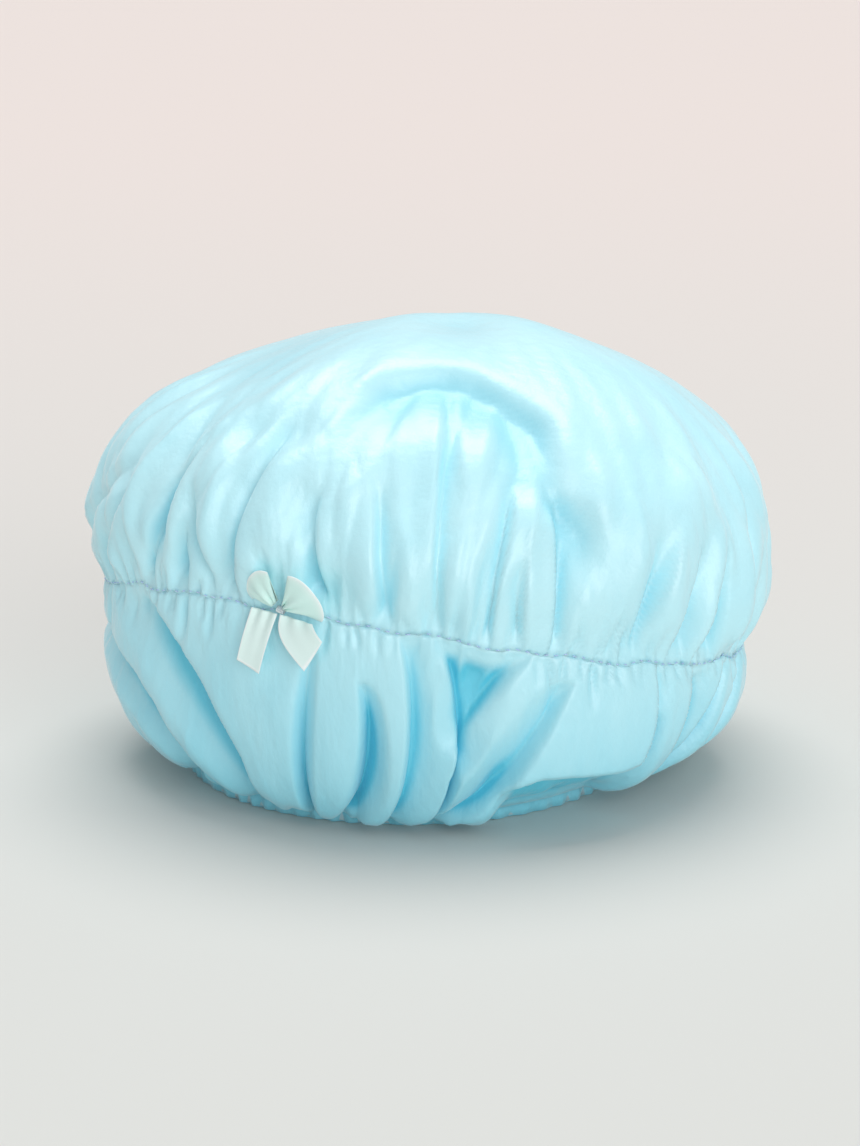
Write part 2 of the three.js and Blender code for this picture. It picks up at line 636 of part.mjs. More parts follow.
// The origin is on the table, under the middle of the whole cap.
const bounds = new THREE.Box3().setFromObject(cap, true);
const middle = bounds.getCenter(new THREE.Vector3());
cap.position.set(-middle.x, -middle.y, -bounds.min.z);

const part = new THREE.Group();
part.add(cap);
export default part;
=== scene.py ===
"""A gathered satin shower cap, puffed out and standing on its hem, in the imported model's frame.
Metres, +Z up, -Y to the front; the sizes of the cloth are in millimetres until they become a mesh.
"""
import math
from types import SimpleNamespace

import bmesh
import bpy
import numpy as np
from mathutils import Matrix, Vector


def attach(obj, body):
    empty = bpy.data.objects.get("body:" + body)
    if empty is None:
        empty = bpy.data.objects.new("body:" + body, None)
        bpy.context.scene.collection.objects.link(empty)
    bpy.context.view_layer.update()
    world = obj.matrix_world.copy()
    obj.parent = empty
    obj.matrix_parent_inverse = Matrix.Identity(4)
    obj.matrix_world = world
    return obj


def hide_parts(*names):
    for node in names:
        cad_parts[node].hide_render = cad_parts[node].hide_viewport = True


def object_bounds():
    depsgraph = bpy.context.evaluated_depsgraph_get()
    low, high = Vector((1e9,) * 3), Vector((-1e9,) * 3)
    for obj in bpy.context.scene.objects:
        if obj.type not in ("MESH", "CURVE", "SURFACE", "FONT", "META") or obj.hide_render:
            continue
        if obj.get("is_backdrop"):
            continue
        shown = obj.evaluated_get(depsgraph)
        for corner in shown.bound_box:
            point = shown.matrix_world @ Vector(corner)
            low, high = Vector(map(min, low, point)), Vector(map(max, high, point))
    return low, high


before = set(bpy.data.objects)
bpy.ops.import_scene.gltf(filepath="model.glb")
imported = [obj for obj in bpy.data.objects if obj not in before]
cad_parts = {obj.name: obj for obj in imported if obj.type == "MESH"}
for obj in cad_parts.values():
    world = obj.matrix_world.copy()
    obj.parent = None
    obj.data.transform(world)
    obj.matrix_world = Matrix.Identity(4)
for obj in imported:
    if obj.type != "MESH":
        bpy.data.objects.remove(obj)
cad_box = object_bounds()


# The table: a broad sheet of matt paper, painted grey close by and a lighter, warmer white far off, as
# painted light. A wide soft lamp lights it from overhead and a little behind, a weaker one from low at the
# front right, and a pale room all round.
def srgb(red, green, blue):
    """A colour as a screen shows it, from 0 to 255, as the linear values that Blender takes."""
    shares = (np.array([red, green, blue]) / 255.0 + 0.055) / 1.055
    return (*(shares ** 2.4), 1.0)


def fill(node, *given, **values):
    """Gives a node its settings and inputs by name, then inputs in order. A socket is joined to its input."""
    for key, value in (*values.items(), *enumerate(given)):
        socket = node.inputs[key] if isinstance(key, int) else node.inputs.get(key.replace("_", " "))
        if socket is None:
            setattr(node, key, value)
        elif isinstance(value, bpy.types.NodeSocket):
            node.id_data.links.new(value, socket)
        else:
            socket.default_value = value
    return node


def add(tree, kind, *given, **values):
    """A new node of a tree, filled."""
    return fill(tree.nodes.new("ShaderNode" + kind), *given, **values)


def finish_of(name):
    """A new material with its node tree and its shader."""
    material = bpy.data.materials.new(name)
    material.use_nodes = True
    return material, material.node_tree, material.node_tree.nodes["Principled BSDF"]


def tint_between(shader, first, second, blend):
    """Colours a shader from a first colour to a second, by a socket that goes from 0 to 1."""
    tint = add(shader.id_data, "Mix", blend, data_type="RGBA")
    tint.inputs[6].default_value = first
    tint.inputs[7].default_value = second
    fill(shader, Base_Color=tint.outputs[2])
    return tint


def object_from(name, shape, material):
    """An object at the origin from a bmesh, with smooth faces."""
    mesh = bpy.data.meshes.new(name)
    shape.to_mesh(mesh)
    shape.free()
    mesh.shade_smooth()
    mesh.materials.append(material)
    piece = bpy.data.objects.new(name, mesh)
    bpy.context.scene.collection.objects.link(piece)
    return piece


TABLE_HALF = 6.0
# Painted light: the paper's colour runs from grey close by to a lighter, warmer white far off.
NEAR_GREY = srgb(214, 215, 211)
FAR_PAINTED_LIGHT = srgb(226, 216, 211)
GREY_UNTIL = -0.45
WARM_FROM = 1.6

paper, tree, shader = finish_of("table_paper")
parts = add(tree, "SeparateXYZ", add(tree, "TexCoord").outputs["Object"])
distance = add(tree, "MapRange", parts.outputs["Y"], GREY_UNTIL, WARM_FROM, interpolation_type="SMOOTHSTEP")
tint_between(shader, NEAR_GREY, FAR_PAINTED_LIGHT, distance.outputs["Result"])
fill(shader, Roughness=0.9, Specular_IOR_Level=0.1)
shape = bmesh.new()
bmesh.ops.create_grid(shape, x_segments=1, y_segments=1, size=TABLE_HALF)
table = object_from("table", shape, paper)
table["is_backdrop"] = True

world = bpy.data.worlds.new("pale_room")
world.use_nodes = True
fill(world.node_tree.nodes["Background"], Color=srgb(250, 250, 252), Strength=0.5)
bpy.context.scene.world = world


def soft_lamp(name, strength, spread, aim):
    """A lamp of even light from a wide patch of sky, shining along a direction."""
    data = bpy.data.lights.new(name, "SUN")
    data.energy = strength
    data.angle = math.radians(spread)
    lamp = bpy.data.objects.new(name, data)
    lamp.rotation_euler = Vector(aim).to_track_quat("-Z", "Y").to_euler()
    bpy.context.scene.collection.objects.link(lamp)


soft_lamp("overhead_lamp", strength=1.72, spread=45, aim=(0.0, -0.3, -1.0))
soft_lamp("right_lamp", strength=1.3, spread=50, aim=(-0.45, 1.0, -0.32))

# The camera: a long lens that looks a little down on the cap from the front.
LENS_WIDTHS = 3351 / 860  # focal length over the frame's width
EYE = Vector((0.0, -1.1564, 0.4007))
AIM = Vector((0.0, 0.0, 0.0674))
camera_data = bpy.data.cameras.new("camera")
camera_data.sensor_fit = "HORIZONTAL"
camera_data.lens = camera_data.sensor_width * LENS_WIDTHS
camera_data.dof.use_dof = False
camera = bpy.data.objects.new("camera", camera_data)
camera.location = EYE
camera.rotation_euler = (AIM - EYE).to_track_quat("-Z", "Y").to_euler()
bpy.context.scene.collection.objects.link(camera)
bpy.context.scene.camera = camera
bpy.context.scene.view_settings.view_transform = "Standard"


# The outer cloth: one disc of pale blue polyester satin. It is gathered along the waist seam, which puffs
# the crown up, and again into the hem casing at its edge, so that the frill between hangs in deep folds.
MILLIMETRE = 0.001
HALF_TURN = math.pi
QUARTER_TURN = math.pi / 2
TINY = 1e-9
CAP_MIDDLE = np.array([-2.2173, -5.4804, 0.0])
WAIST_HALF = (113.0, 100.0)
WAIST_HEIGHT = 55.0
WAIST_PITCH = 12.0
WAIST_ROLL = 5.4
WAIST_TILT = np.array(
    Matrix.Rotation(math.radians(-WAIST_PITCH), 3, "X") @ Matrix.Rotation(math.radians(WAIST_ROLL), 3, "Y")
)
WAIST_TWIST = 4.5
SEAM_WANDER = 0.6
SEAM_WAVES = ((17, 1.0, 1.0), (29, 0.7, 0.0), (43, 0.5, 2.0))  # count round the cap, share, start
CROWN_RISE = 84.0
WIDEST_RISE = 23.0
WIDEST_LEVEL = 0.13
CROWN_SWELL = (6.0, 7.0)
CROWN_LEAN = 9.0
HEM_HALF = (79.0, 74.0)
HEM_SHIFT_LEFT = 6.0
CASING_HEIGHT = 6.97
FRILL_SWELL = (3.0, -1.0)  # of the upper and the lower part of its curve over the seam
FRILL_BENDS = (0.4, 0.06)  # where these lie: share of the drop below the seam, and above the hem
FRILL_SAG = 20.0
FRILL_SAG_AT = math.radians(-2)
FRILL_SAG_WIDTH = math.radians(42)
MEAN_RADIUS = 112.0


def smoothstep(value, low, high):
    """From 0 at a low value to 1 at a high one, smooth at both ends."""
    share = np.clip((value - low) / (high - low), 0.0, 1.0)
    return share * share * (3.0 - 2.0 * share)


def bump(value, width):
    """A round bump, 1 where a value is nought."""
    return np.exp(-((value / width) ** 2))


def turned_from(angle, line):
    """Angle from a line, between minus and plus half a turn."""
    return (angle - line + HALF_TURN) % (2 * HALF_TURN) - HALF_TURN


def in_cap(points):
    """Points of the waist's frame in the cap's frame."""
    return points @ WAIST_TILT.T + np.array([0.0, 0.0, WAIST_HEIGHT]) + CAP_MIDDLE


def seam_rise(angle):
    """How far the waist seam rises and falls round the cap, with the small wander of a gathered seam."""
    wander = sum(share * np.sin(count * angle + start) for count, share, start in SEAM_WAVES)
    return -WAIST_TWIST * np.sin(2 * angle) + SEAM_WANDER * wander


def waist_place(angle, inset):
    """The waist seam's oval, drawn in by an inset."""
    x = (WAIST_HALF[0] - inset) * np.sin(angle)
    y = -(WAIST_HALF[1] - inset) * np.cos(angle)
    return in_cap(np.stack([x, y, seam_rise(angle)], axis=-1))


def crown_place(angle, level):
    """The puffed crown without its folds, at a level from 0 on the seam to 1 at the top."""
    low = np.minimum(level / WIDEST_LEVEL, 1.0)
    swell = np.sin(low * QUARTER_TURN)
    climb = np.maximum(level - WIDEST_LEVEL, 0.0) / (1.0 - WIDEST_LEVEL) * QUARTER_TURN
    rise = seam_rise(angle) * (1.0 - level) ** 2
    x = (WAIST_HALF[0] + CROWN_SWELL[0] * swell) * np.sin(angle) * np.cos(climb)
    y = -(WAIST_HALF[1] + CROWN_SWELL[1] * swell) * np.cos(angle) * np.cos(climb)
    z = rise + WIDEST_RISE * low + CROWN_RISE * np.sin(climb)
    return in_cap(np.stack([x + CROWN_LEAN * np.sin(climb), y, z], axis=-1))


def hem_place(angle, inset, height):
    """The hem's oval on the table, drawn in by an inset."""
    x = (HEM_HALF[0] - inset) * np.sin(angle) - HEM_SHIFT_LEFT
    y = -(HEM_HALF[1] - inset) * np.cos(angle)
    return np.stack([x, y, np.broadcast_to(height, x.shape)], axis=-1) + CAP_MIDDLE


def frill_place(angle, share):
    """The frill without its folds, at a share from 0 on the seam to 1 at the top of the hem casing."""
    top = waist_place(angle, 0.0)
    foot = hem_place(angle, 0.0, CASING_HEIGHT)
    out = np.stack([np.sin(angle), -np.cos(angle), np.zeros_like(angle)], axis=-1)
    drop = top[..., 2] - foot[..., 2]
    upper = top + FRILL_SWELL[0] * out
    upper[..., 2] = top[..., 2] - FRILL_BENDS[0] * drop
    lower = top + FRILL_SWELL[1] * out
    sag = FRILL_SAG * bump(turned_from(angle, FRILL_SAG_AT), FRILL_SAG_WIDTH)
    lower[..., 2] = foot[..., 2] + FRILL_BENDS[1] * drop - sag
    t = share[..., None]
    return (1 - t) ** 3 * top + 3 * (1 - t) ** 2 * t * upper + 3 * (1 - t) * t * t * lower + t ** 3 * foot


def unit(ways):
    """Directions, each made one long."""
    return ways / np.maximum(np.linalg.norm(ways, axis=-1, keepdims=True), TINY)


def axes_on(place_at, angle, level, up):
    """The directions along the ring, up the cloth and out of it; up is the sign of a rising level."""
    step = 0.004
    along = place_at(angle + step, level) - place_at(angle - step, level)
    higher = np.clip(level + step, 0.0, 1.0)
    lower = np.clip(level - step, 0.0, 1.0)
    rising = up * (place_at(angle, higher) - place_at(angle, lower))
    along = unit(along)
    rising = unit(rising)
    return along, rising, unit(np.cross(along, rising))


def crown_radius(level):
    """About how far the crown stands from its own middle line at a level."""
    return MEAN_RADIUS * np.cos(np.maximum(level - WIDEST_LEVEL, 0.0) / (1.0 - WIDEST_LEVEL) * QUARTER_TURN)


LEVELS = np.linspace(0.0, 1.0, 400)
MERIDIAN_AT = -0.6
meridian = crown_place(np.full(len(LEVELS), MERIDIAN_AT), LEVELS)
HEIGHTS = np.concatenate([[0.0], np.cumsum(np.linalg.norm(np.diff(meridian, axis=0), axis=1))])
CROWN_LENGTH = HEIGHTS[-1]
FRILL_LENGTH = 75.0


# Rows of the crown's pleats: angle at the seam and at the tip in degrees, level of the tip, depth of the
# hollow and its easy run in millimetres, and how far a rim leans over it (the left rim where it is above 0).
FRONT_PLEATS = [
    (-88, -64, 0.27, 6.8, 12.2, -3.0),
    (-71, -60, 0.22, 5.4, 9.5, -2.0),
    (-57, -47, 0.37, 7.4, 16.2, 3.0),
    (-46, -44, 0.18, 4.1, 8.1, -1.5),
    (-37, -46, 0.27, 5.4, 8.1, -3.0),
    (-33, -31, 0.42, 4.7, 13.5, -2.5),
    (-16, -21, 0.26, 5.4, 12.2, -2.5),
    (-7, -11, 0.30, 5.4, 10.8, 2.5),
    (2, -4.5, 0.62, 4.6, 8.0, 2.0),
    (11, 11.5, 0.37, 4.7, 9.5, -2.5),
    (16, 14, 0.24, 3.4, 6.8, -1.5),
    (22, 19, 0.34, 5.4, 9.5, 2.5),
    (38, 44, 0.32, 6.1, 13.5, -3.0),
    (46, 50, 0.24, 5.4, 10.8, 2.5),
    (60, 57, 0.26, 5.4, 10.8, -2.5),
    (73, 66, 0.33, 5.4, 12.2, -3.0),
]

# Rows of the frill's folds: angle of the hollow at the seam, half way and at the hem, its depth and easy
# run, the lean of its rim as above, and the shares of the drop at which it starts and ends.
FRONT_HOLLOWS = [
    (-100, -56, -57, 11.0, 20.0, -3.0, 0.0, 1.0),
    (-59.7, -36.4, -33, 11.0, 22.0, -3.5, 0.0, 1.0),
    (-75, -55, -40, 7.5, 12.0, -2.5, 0.45, 1.0),
    (-18, -23, -21.6, 7.0, 8.0, 2.5, 0.1, 1.0),
    (-11.8, -11.5, -21, 11.0, 12.0, 3.5, 0.2, 1.0),
    (-3.7, -3.2, -10, 8.0, 14.0, 2.5, 0.0, 1.0),
    (2.2, 4.8, -3, 10.0, 14.0, 3.5, 0.0, 0.5),
    (2.2, 4.8, -3, 8.0, 6.0, 3.0, 0.3, 1.0),
    (10.5, 3, -4.5, 9.0, 13.0, 0.0, 0.0, 0.38),
    (19, 1.5, -10, 9.0, 15.0, -3.0, 0.0, 0.4),
    (28, 16.5, 2, 9.0, 16.0, -3.5, 0.12, 1.0),
    (44.5, 41.5, 34, 5.0, 7.0, 2.5, 0.05, 0.6),
    (55.5, 51, 47, 11.0, 22.0, 3.0, 0.0, 1.0),
    (68, 61, 52, 8.0, 8.0, -3.0, 0.05, 1.0),
    (79, 71, 63, 9.1, 12.0, -3.0, 0.0, 1.0),
]

# Rows of the crown's dents and swells: angle in degrees, level, rise and width in millimetres.
FRONT_DENTS = [
    (-87, 0.38, 3.0, 30.0), (-61, 0.62, -3.0, 30.0), (-14, 0.86, -1.2, 12.0), (60, 0.93, 1.5, 15.0),
    (88, 0.6, 2.0, 26.0), (88, 0.15, -2.5, 26.0), (-41, 0.37, -2.0, 8.0), (-31, 0.385, -2.0, 8.0),
    (-22, 0.225, -2.5, 9.0), (40, 0.44, -1.2, 7.0), (52, 0.34, 1.5, 12.0), (-75, 0.3, 2.0, 14.0),
]
DENT_SPAN = 150.0  # millimetres from level 0 to 1

# The folds at the back run on evenly, a little varied from one to the next.
BACK_PLEATS = 15
BACK_PLEATS_FROM = 84.0
BACK_PLEAT_PITCH = 12.5
BACK_HOLLOWS = 11
BACK_HOLLOWS_FROM = 92.0
BACK_HOLLOW_PITCH = 16.0
BACK_HOLLOW_LEAN = 3.0


def varied(turn, mean, swing, pace, start=0.0):
    """A value that swings about its mean from one fold to the next."""
    return mean + swing * math.sin(pace * turn + start)


pleats = list(FRONT_PLEATS)
for turn in range(BACK_PLEATS):
    at_seam = BACK_PLEATS_FROM + BACK_PLEAT_PITCH * turn + varied(turn, 0.0, 3.0, 2.4)
    at_tip = at_seam + varied(turn, 0.0, 7.0, 1.7, 1.0)
    lean = math.copysign(varied(turn, 2.5, 1.0, 2.7), varied(turn, 0.0, 1.0, 4.3, 1.0))
    tip, depth, run = varied(turn, 0.31, 0.1, 3.1), varied(turn, 5.0, 1.0, 2.1), varied(turn, 9.0, 2.0, 1.3)
    pleats.append((at_seam, at_tip, tip, depth, run, lean))
hollows = list(FRONT_HOLLOWS)
for turn in range(BACK_HOLLOWS):
    at_seam = BACK_HOLLOWS_FROM + BACK_HOLLOW_PITCH * turn + varied(turn, 0.0, 4.0, 2.4)
    half_way = at_seam + varied(turn, 0.0, 9.0, 1.9, 0.5)
    at_hem = half_way + varied(turn, 0.0, 4.0, 2.9)
    lean = math.copysign(BACK_HOLLOW_LEAN, varied(turn, 0.0, 1.0, 4.3, 1.0))
    depth, run = varied(turn, 8.5, 1.5, 1.1), varied(turn, 13.0, 2.0, 2.2)
    hollows.append((at_seam, half_way, at_hem, depth, run, lean, 0.0, 1.0))

STEEP_RUN = 1.8
PINCH = 1.2
HOLLOW_FLOOR = 1.2
RIM = 2.6
RIM_LEANS = 0.7
RIM_EASED = 5.0
SLANT_EASED = 2.0


def hollow_across(offset, run, lean):
    """Depth of a hollow across itself, from 0 to 1: pinched in its middle, and steep under a leaning rim."""
    left = np.where(lean > 0, STEEP_RUN, run)
    right = np.where(lean < 0, STEEP_RUN, run)
    share = np.clip(1.0 - np.abs(offset) / np.where(offset < 0, left, right), 0.0, 1.0)
    return np.minimum(HOLLOW_FLOOR * share, 1.0) ** PINCH


def rim_shift(offset, lean):
    """How far the cloth beside a hollow leans over it, along the ring."""
    return RIM_LEANS * lean * bump(offset + math.copysign(STEEP_RUN, lean), RIM)


def rim_eased(open_by, offset, slant):
    """How much a hollow's rim is eased: the more the hollow slants across the threads, the more."""
    return open_by * bump(offset, RIM_EASED) * np.clip(SLANT_EASED * np.abs(slant), 0.0, 1.0)


# The small gathers at a seam, which fan out from it and fade. The longest ones reach far up the crown.
GATHERS = 130
GATHER_JITTER = 0.35
GATHER_SLANT = 0.16
GATHER_SHORTEST = 6.0
GATHER_MOSTLY_SHORT = 3.5
GATHER_DEPTHS = (1.6, 4.2)
GATHER_START = 1.5
GATHER_FADE = 0.8
GATHER_WIDTH = 1.6
GATHER_WIDENS = 0.14
GATHER_PINCH = 1.3
chance = np.random.default_rng(5)


def small_gathers(longest):
    """Rows of gathers: angle at the seam, slant, reach away from the seam, and depth."""
    rows = []
    for turn in range(GATHERS):
        at_seam = (turn + chance.uniform(-GATHER_JITTER, GATHER_JITTER)) * 360.0 / GATHERS
        reach = GATHER_SHORTEST + longest * chance.random() ** GATHER_MOSTLY_SHORT
        rows.append((at_seam, chance.normal(0.0, GATHER_SLANT), reach, chance.uniform(*GATHER_DEPTHS)))
    return rows


crown_gathers = small_gathers(36.0)
frill_gathers = small_gathers(16.0)
hem_gathers = small_gathers(14.0)


def gathered(rows, angle, away, radius):
    """How deep the small gathers are, away from their seam."""
    depth = np.zeros_like(angle)
    starting = 1.0 - np.exp(-away / GATHER_START)
    half_width = GATHER_WIDTH + GATHER_WIDENS * away
    for at_seam, slant, reach, deep in rows:
        offset = turned_from(angle, math.radians(at_seam)) * radius - slant * away
        fading = np.clip(1.0 - away / reach, 0.0, 1.0) ** GATHER_FADE
        across = np.clip(1.0 - np.abs(offset) / half_width, 0.0, 1.0) ** GATHER_PINCH
        depth += deep * starting * fading * across
    return depth


def gather_wave(angle, count):
    """Uneven puckers round a seam, from -1 to 1."""
    phase = count * angle
    for waves, size, start in ((3, 1.8, 0.5), (8, 1.3, 2), (13, 0.9, 0.0)):
        phase = phase + size * np.sin(waves * angle + start)
    return np.cos(phase) * (0.75 + 0.25 * np.sin(11 * angle + 1.0))


# Creases that wander over the slack cloth: each set of waves folds sharply where it passes through nought.
# Rows of the sets: height of the creases, most waves round the cap, and the shortest wave up the cloth.
CREASE_SETS = [(2.0, 22.0, 90.0), (-1.8, 30.0, 70.0), (1.2, 46.0, 60.0)]
WAVES = 4
FEWEST_ROUND = 6
MEAN_FIELD = 1.13  # mean size of the sum of a set's waves


def crease_set(most_round, shortest):
    """Waves of a set, each with its count round the cap, its pace away from the seam and its start."""
    waves = []
    for _ in range(WAVES):
        count = chance.integers(FEWEST_ROUND, most_round)
        pace = chance.choice([-1, 1]) * 2 * HALF_TURN / chance.uniform(shortest, 3 * shortest)
        waves.append((count, pace, chance.uniform(0.0, 2 * HALF_TURN)))
    return waves


crease_waves = [crease_set(most_round, shortest) for _, most_round, shortest in CREASE_SETS]


def creased(angle, away):
    """How far the creases lift the cloth."""
    lift = np.zeros_like(angle)
    for (size, _, _), waves in zip(CREASE_SETS, crease_waves):
        field = sum(np.cos(count * angle + pace * away + start) for count, pace, start in waves)
        lift += size * (np.abs(field) / MEAN_FIELD - 1.0)
    return lift


# The tuck at the front, where the top of the crown billows over the pleats in an arch: the level of its
# lip, its soft left side and its right edge in degrees, and how the recess under it eases out.
ARCH_MIDDLE = -4.0
ARCH_TOP = 0.64
ARCH_FALL = (0.1, 0.15)
ARCH_HALF = (18.5, 25.0)
ARCH_SOFT_LEFT = (-27.0, -13.0)
ARCH_EDGE = 21.0
ARCH_EDGE_STEP = (8.0, 0.29, 0.06)  # how far the edge steps out, at which level, and over how much of it
ARCH_WALL = 7.0
ARCH_SIDE = 7.5
ARCH_DEPTH = 7.0
ARCH_EASE = (7.0, 45.0)
ARCH_LEFT_OVER = 0.2
ARCH_EDGE_LEFT_OVER = 0.75
ARCH_EDGE_EASE = (6.0, 24.0)
ARCH_FOOT = (0.05, 0.25)
ARCH_REACH = 60.0
LIP_LEAN = 2.5
LIP_WIDTH = 4.0
LIP_CORNER = 3.0
LIP_BEYOND = 1.0
SIDE_LEANS = 0.5
SIDE_LEAN_FROM = (0.0, 8.0)
EASED_INSIDE = 2.0


def arch_line(degrees):
    """The level of the arch's lip."""
    side = degrees - ARCH_MIDDLE
    left = side < 0
    return ARCH_TOP - np.where(left, *ARCH_FALL) * (side / np.where(left, *ARCH_HALF)) ** 2


def arch_recess(angle, level):
    """How deep the tuck lies under the crown, how its lip leans along the ring and up, and how much the
    cloth is eased along its edge."""
    degrees = np.degrees(turned_from(angle, 0.0))
    under = np.interp(arch_line(degrees), LEVELS, HEIGHTS) - np.interp(level, LEVELS, HEIGHTS)
    wider, at_level, over = ARCH_EDGE_STEP
    edge = ARCH_EDGE + wider * (1.0 - smoothstep(level, at_level - over, at_level + over))
    inside = np.radians(edge - degrees) * crown_radius(level)
    left = smoothstep(degrees, *ARCH_SOFT_LEFT)
    front = np.abs(degrees) < ARCH_REACH
    right = np.clip(inside / ARCH_SIDE, 0.0, 1.0) * front
    wall = np.clip(under / ARCH_WALL, 0.0, 1.0)
    left_over = ARCH_LEFT_OVER + ARCH_EDGE_LEFT_OVER * (1.0 - smoothstep(inside, *ARCH_EDGE_EASE))
    ease = 1.0 - (1.0 - left_over) * smoothstep(under, *ARCH_EASE)
    low = smoothstep(level, *ARCH_FOOT)
    depth = ARCH_DEPTH * wall * left * right * ease * low
    corner = smoothstep(inside, -LIP_CORNER, LIP_CORNER)
    lip = LIP_LEAN * bump(under + LIP_BEYOND, LIP_WIDTH) * left * corner * front
    rim = SIDE_LEANS * LIP_LEAN * bump(inside + LIP_BEYOND, LIP_WIDTH)
    rim = rim * smoothstep(under, *SIDE_LEAN_FROM) * low * front
    eased = bump(np.minimum(under, inside) - EASED_INSIDE, ARCH_WALL) * left * low * front
    return depth, np.stack([-rim, -lip], axis=-1), eased


SEAM_LIFT = 1.2
SEAM_PUCKER = 0.5
SEAM_PUCKERS = 131
SEAM_FADE = 4.0
SEAM_PUFF = 1.2
SEAM_PUFF_START = 3.0
SEAM_PUFF_FADE = 25.0


def seam_lift(angle, away):
    """How far the cloth puffs out beside the seam, and the puckered seam over the elastic behind it."""
    puff = SEAM_PUFF * (1.0 - np.exp(-away / SEAM_PUFF_START)) * np.exp(-away / SEAM_PUFF_FADE)
    return puff + (SEAM_LIFT + SEAM_PUCKER * gather_wave(angle, SEAM_PUCKERS)) * np.exp(-away / SEAM_FADE)


CROWN_PUFF = 2.5
CROWN_PUFF_FROM = (0.0, 24.0)
CROWN_PUFF_UNTIL = (26.0, 92.0)
PLEAT_OPENS = 0.6
PLEAT_DEEPENS = 0.8
PLEAT_NARROWEST = 0.4
BILLOW = 1.2
BILLOWS = 4
BILLOW_SLANT = 6
BILLOW_FROM = (0.3, 0.6)
BILLOW_UNTIL = (0.85, 1.0)
CREASE_LEVELS = (0.0, 0.05, 0.3, 0.6, 0.9)
CREASE_SHARES = (0.0, 0.6, 0.65, 0.1, 0.0)


def fold_crown(angle, level, height):
    """The crown's folds: how far the cloth moves out, along the ring and up, and how much it is eased."""
    radius = crown_radius(level)
    out = CROWN_PUFF * smoothstep(height, *CROWN_PUFF_FROM) * (1.0 - smoothstep(height, *CROWN_PUFF_UNTIL))
    out += seam_lift(angle, height)
    recess, lean, eased = arch_recess(angle, level)
    out -= recess
    along = lean[:, 0].copy()
    deepest = np.zeros_like(angle)
    for at_seam, at_tip, tip, depth, run, rim in pleats:
        share = np.clip(level / tip, 0.0, 1.0)
        line = np.radians(at_seam + (at_tip - at_seam) * share)
        open_by = np.sin(HALF_TURN * share ** PLEAT_OPENS)
        slant = math.radians(at_tip - at_seam) * MEAN_RADIUS / (tip * CROWN_LENGTH)
        offset = turned_from(angle, line) * radius / math.hypot(1.0, slant)
        run = run * (PLEAT_NARROWEST + (1.0 - PLEAT_NARROWEST) * open_by)
        deepest = np.maximum(deepest, depth * open_by ** PLEAT_DEEPENS * hollow_across(offset, run, rim))
        along += open_by * rim_shift(offset, rim)
        eased = np.maximum(eased, rim_eased(open_by, offset, slant))
    out -= deepest
    for at, at_level, rise, width in FRONT_DENTS:
        across = turned_from(angle, math.radians(at)) * radius
        out += rise * bump(across, width) * bump((level - at_level) * DENT_SPAN, width)
    out -= gathered(crown_gathers, angle, height, radius)
    high = smoothstep(level, *BILLOW_FROM) * (1.0 - smoothstep(level, *BILLOW_UNTIL))
    out += high * BILLOW * np.sin(BILLOWS * angle + BILLOW_SLANT * level)
    out += np.interp(level, CREASE_LEVELS, CREASE_SHARES) * creased(angle, height)
    return out, along, lean[:, 1], eased


FRILL_PUFF = 2.0
FRILL_PUFF_POWER = 0.7
HOLLOW_OPENS = 0.5
HOLLOW_NARROWEST = 0.35
PANEL_LEFT = (13.0, 19.0)
PANEL_RIGHT = (41.0, 47.0)
PANEL_SWELL = 4.0
LIP_DROP = 11.0
LIP_THICKNESS = 0.05
LIP_ANGLES = (14.0, 17.0, 21.0, 41.0, 44.0)
LIP_SHARES = (0.585, 0.525, 0.475, 0.48, 0.25)
FRILL_CREASES = 0.15
HEM_GATHER_REACH = 0.8
HEM_RADIUS = 0.75 * MEAN_RADIUS


def fold_frill(angle, share, drop, fall):
    """The frill's folds: how far the cloth moves out and along the ring, and how much it is eased. At the
    front right a broad panel swells out and ends in a lip above the hem."""
    degrees = np.degrees(turned_from(angle, 0.0))
    out = FRILL_PUFF * np.sin(HALF_TURN * share) ** FRILL_PUFF_POWER
    out += seam_lift(angle, drop)
    along = np.zeros_like(angle)
    deepest = np.zeros_like(angle)
    eased = np.zeros_like(angle)
    for at_seam, half_way, at_hem, depth, run, rim, start, end in hollows:
        line = at_seam * (1 - share) * (1 - 2 * share) + 4 * half_way * share * (1 - share)
        line = np.radians(line + at_hem * share * (2 * share - 1))
        within = np.clip((share - start) / (end - start), 0.0, 1.0)
        open_by = np.sin(HALF_TURN * within) ** HOLLOW_OPENS
        slant = at_seam * (4 * share - 3) + half_way * (4 - 8 * share) + at_hem * (4 * share - 1)
        slant = np.radians(slant) * MEAN_RADIUS / FRILL_LENGTH
        offset = turned_from(angle, line) * MEAN_RADIUS / np.hypot(1.0, slant)
        run = run * (HOLLOW_NARROWEST + (1.0 - HOLLOW_NARROWEST) * open_by)
        deepest = np.maximum(deepest, depth * open_by * hollow_across(offset, run, rim))
        along += open_by * rim_shift(offset, rim)
        eased = np.maximum(eased, rim_eased(open_by, offset, slant))
    out -= deepest
    panel = smoothstep(degrees, *PANEL_LEFT) * (1.0 - smoothstep(degrees, *PANEL_RIGHT))
    lip = np.interp(degrees, LIP_ANGLES, LIP_SHARES)
    swell = PANEL_SWELL * np.clip(share / lip, 0.0, 1.0) ** 2
    out += panel * (swell - LIP_DROP * smoothstep(share, lip, lip + LIP_THICKNESS))
    out += FRILL_CREASES * np.sin(HALF_TURN * share) * creased(angle, -drop)
    out -= gathered(frill_gathers, angle, drop, MEAN_RADIUS)
    out -= gathered(hem_gathers, angle, HEM_GATHER_REACH * (fall - drop), HEM_RADIUS)
    return out, along, eased


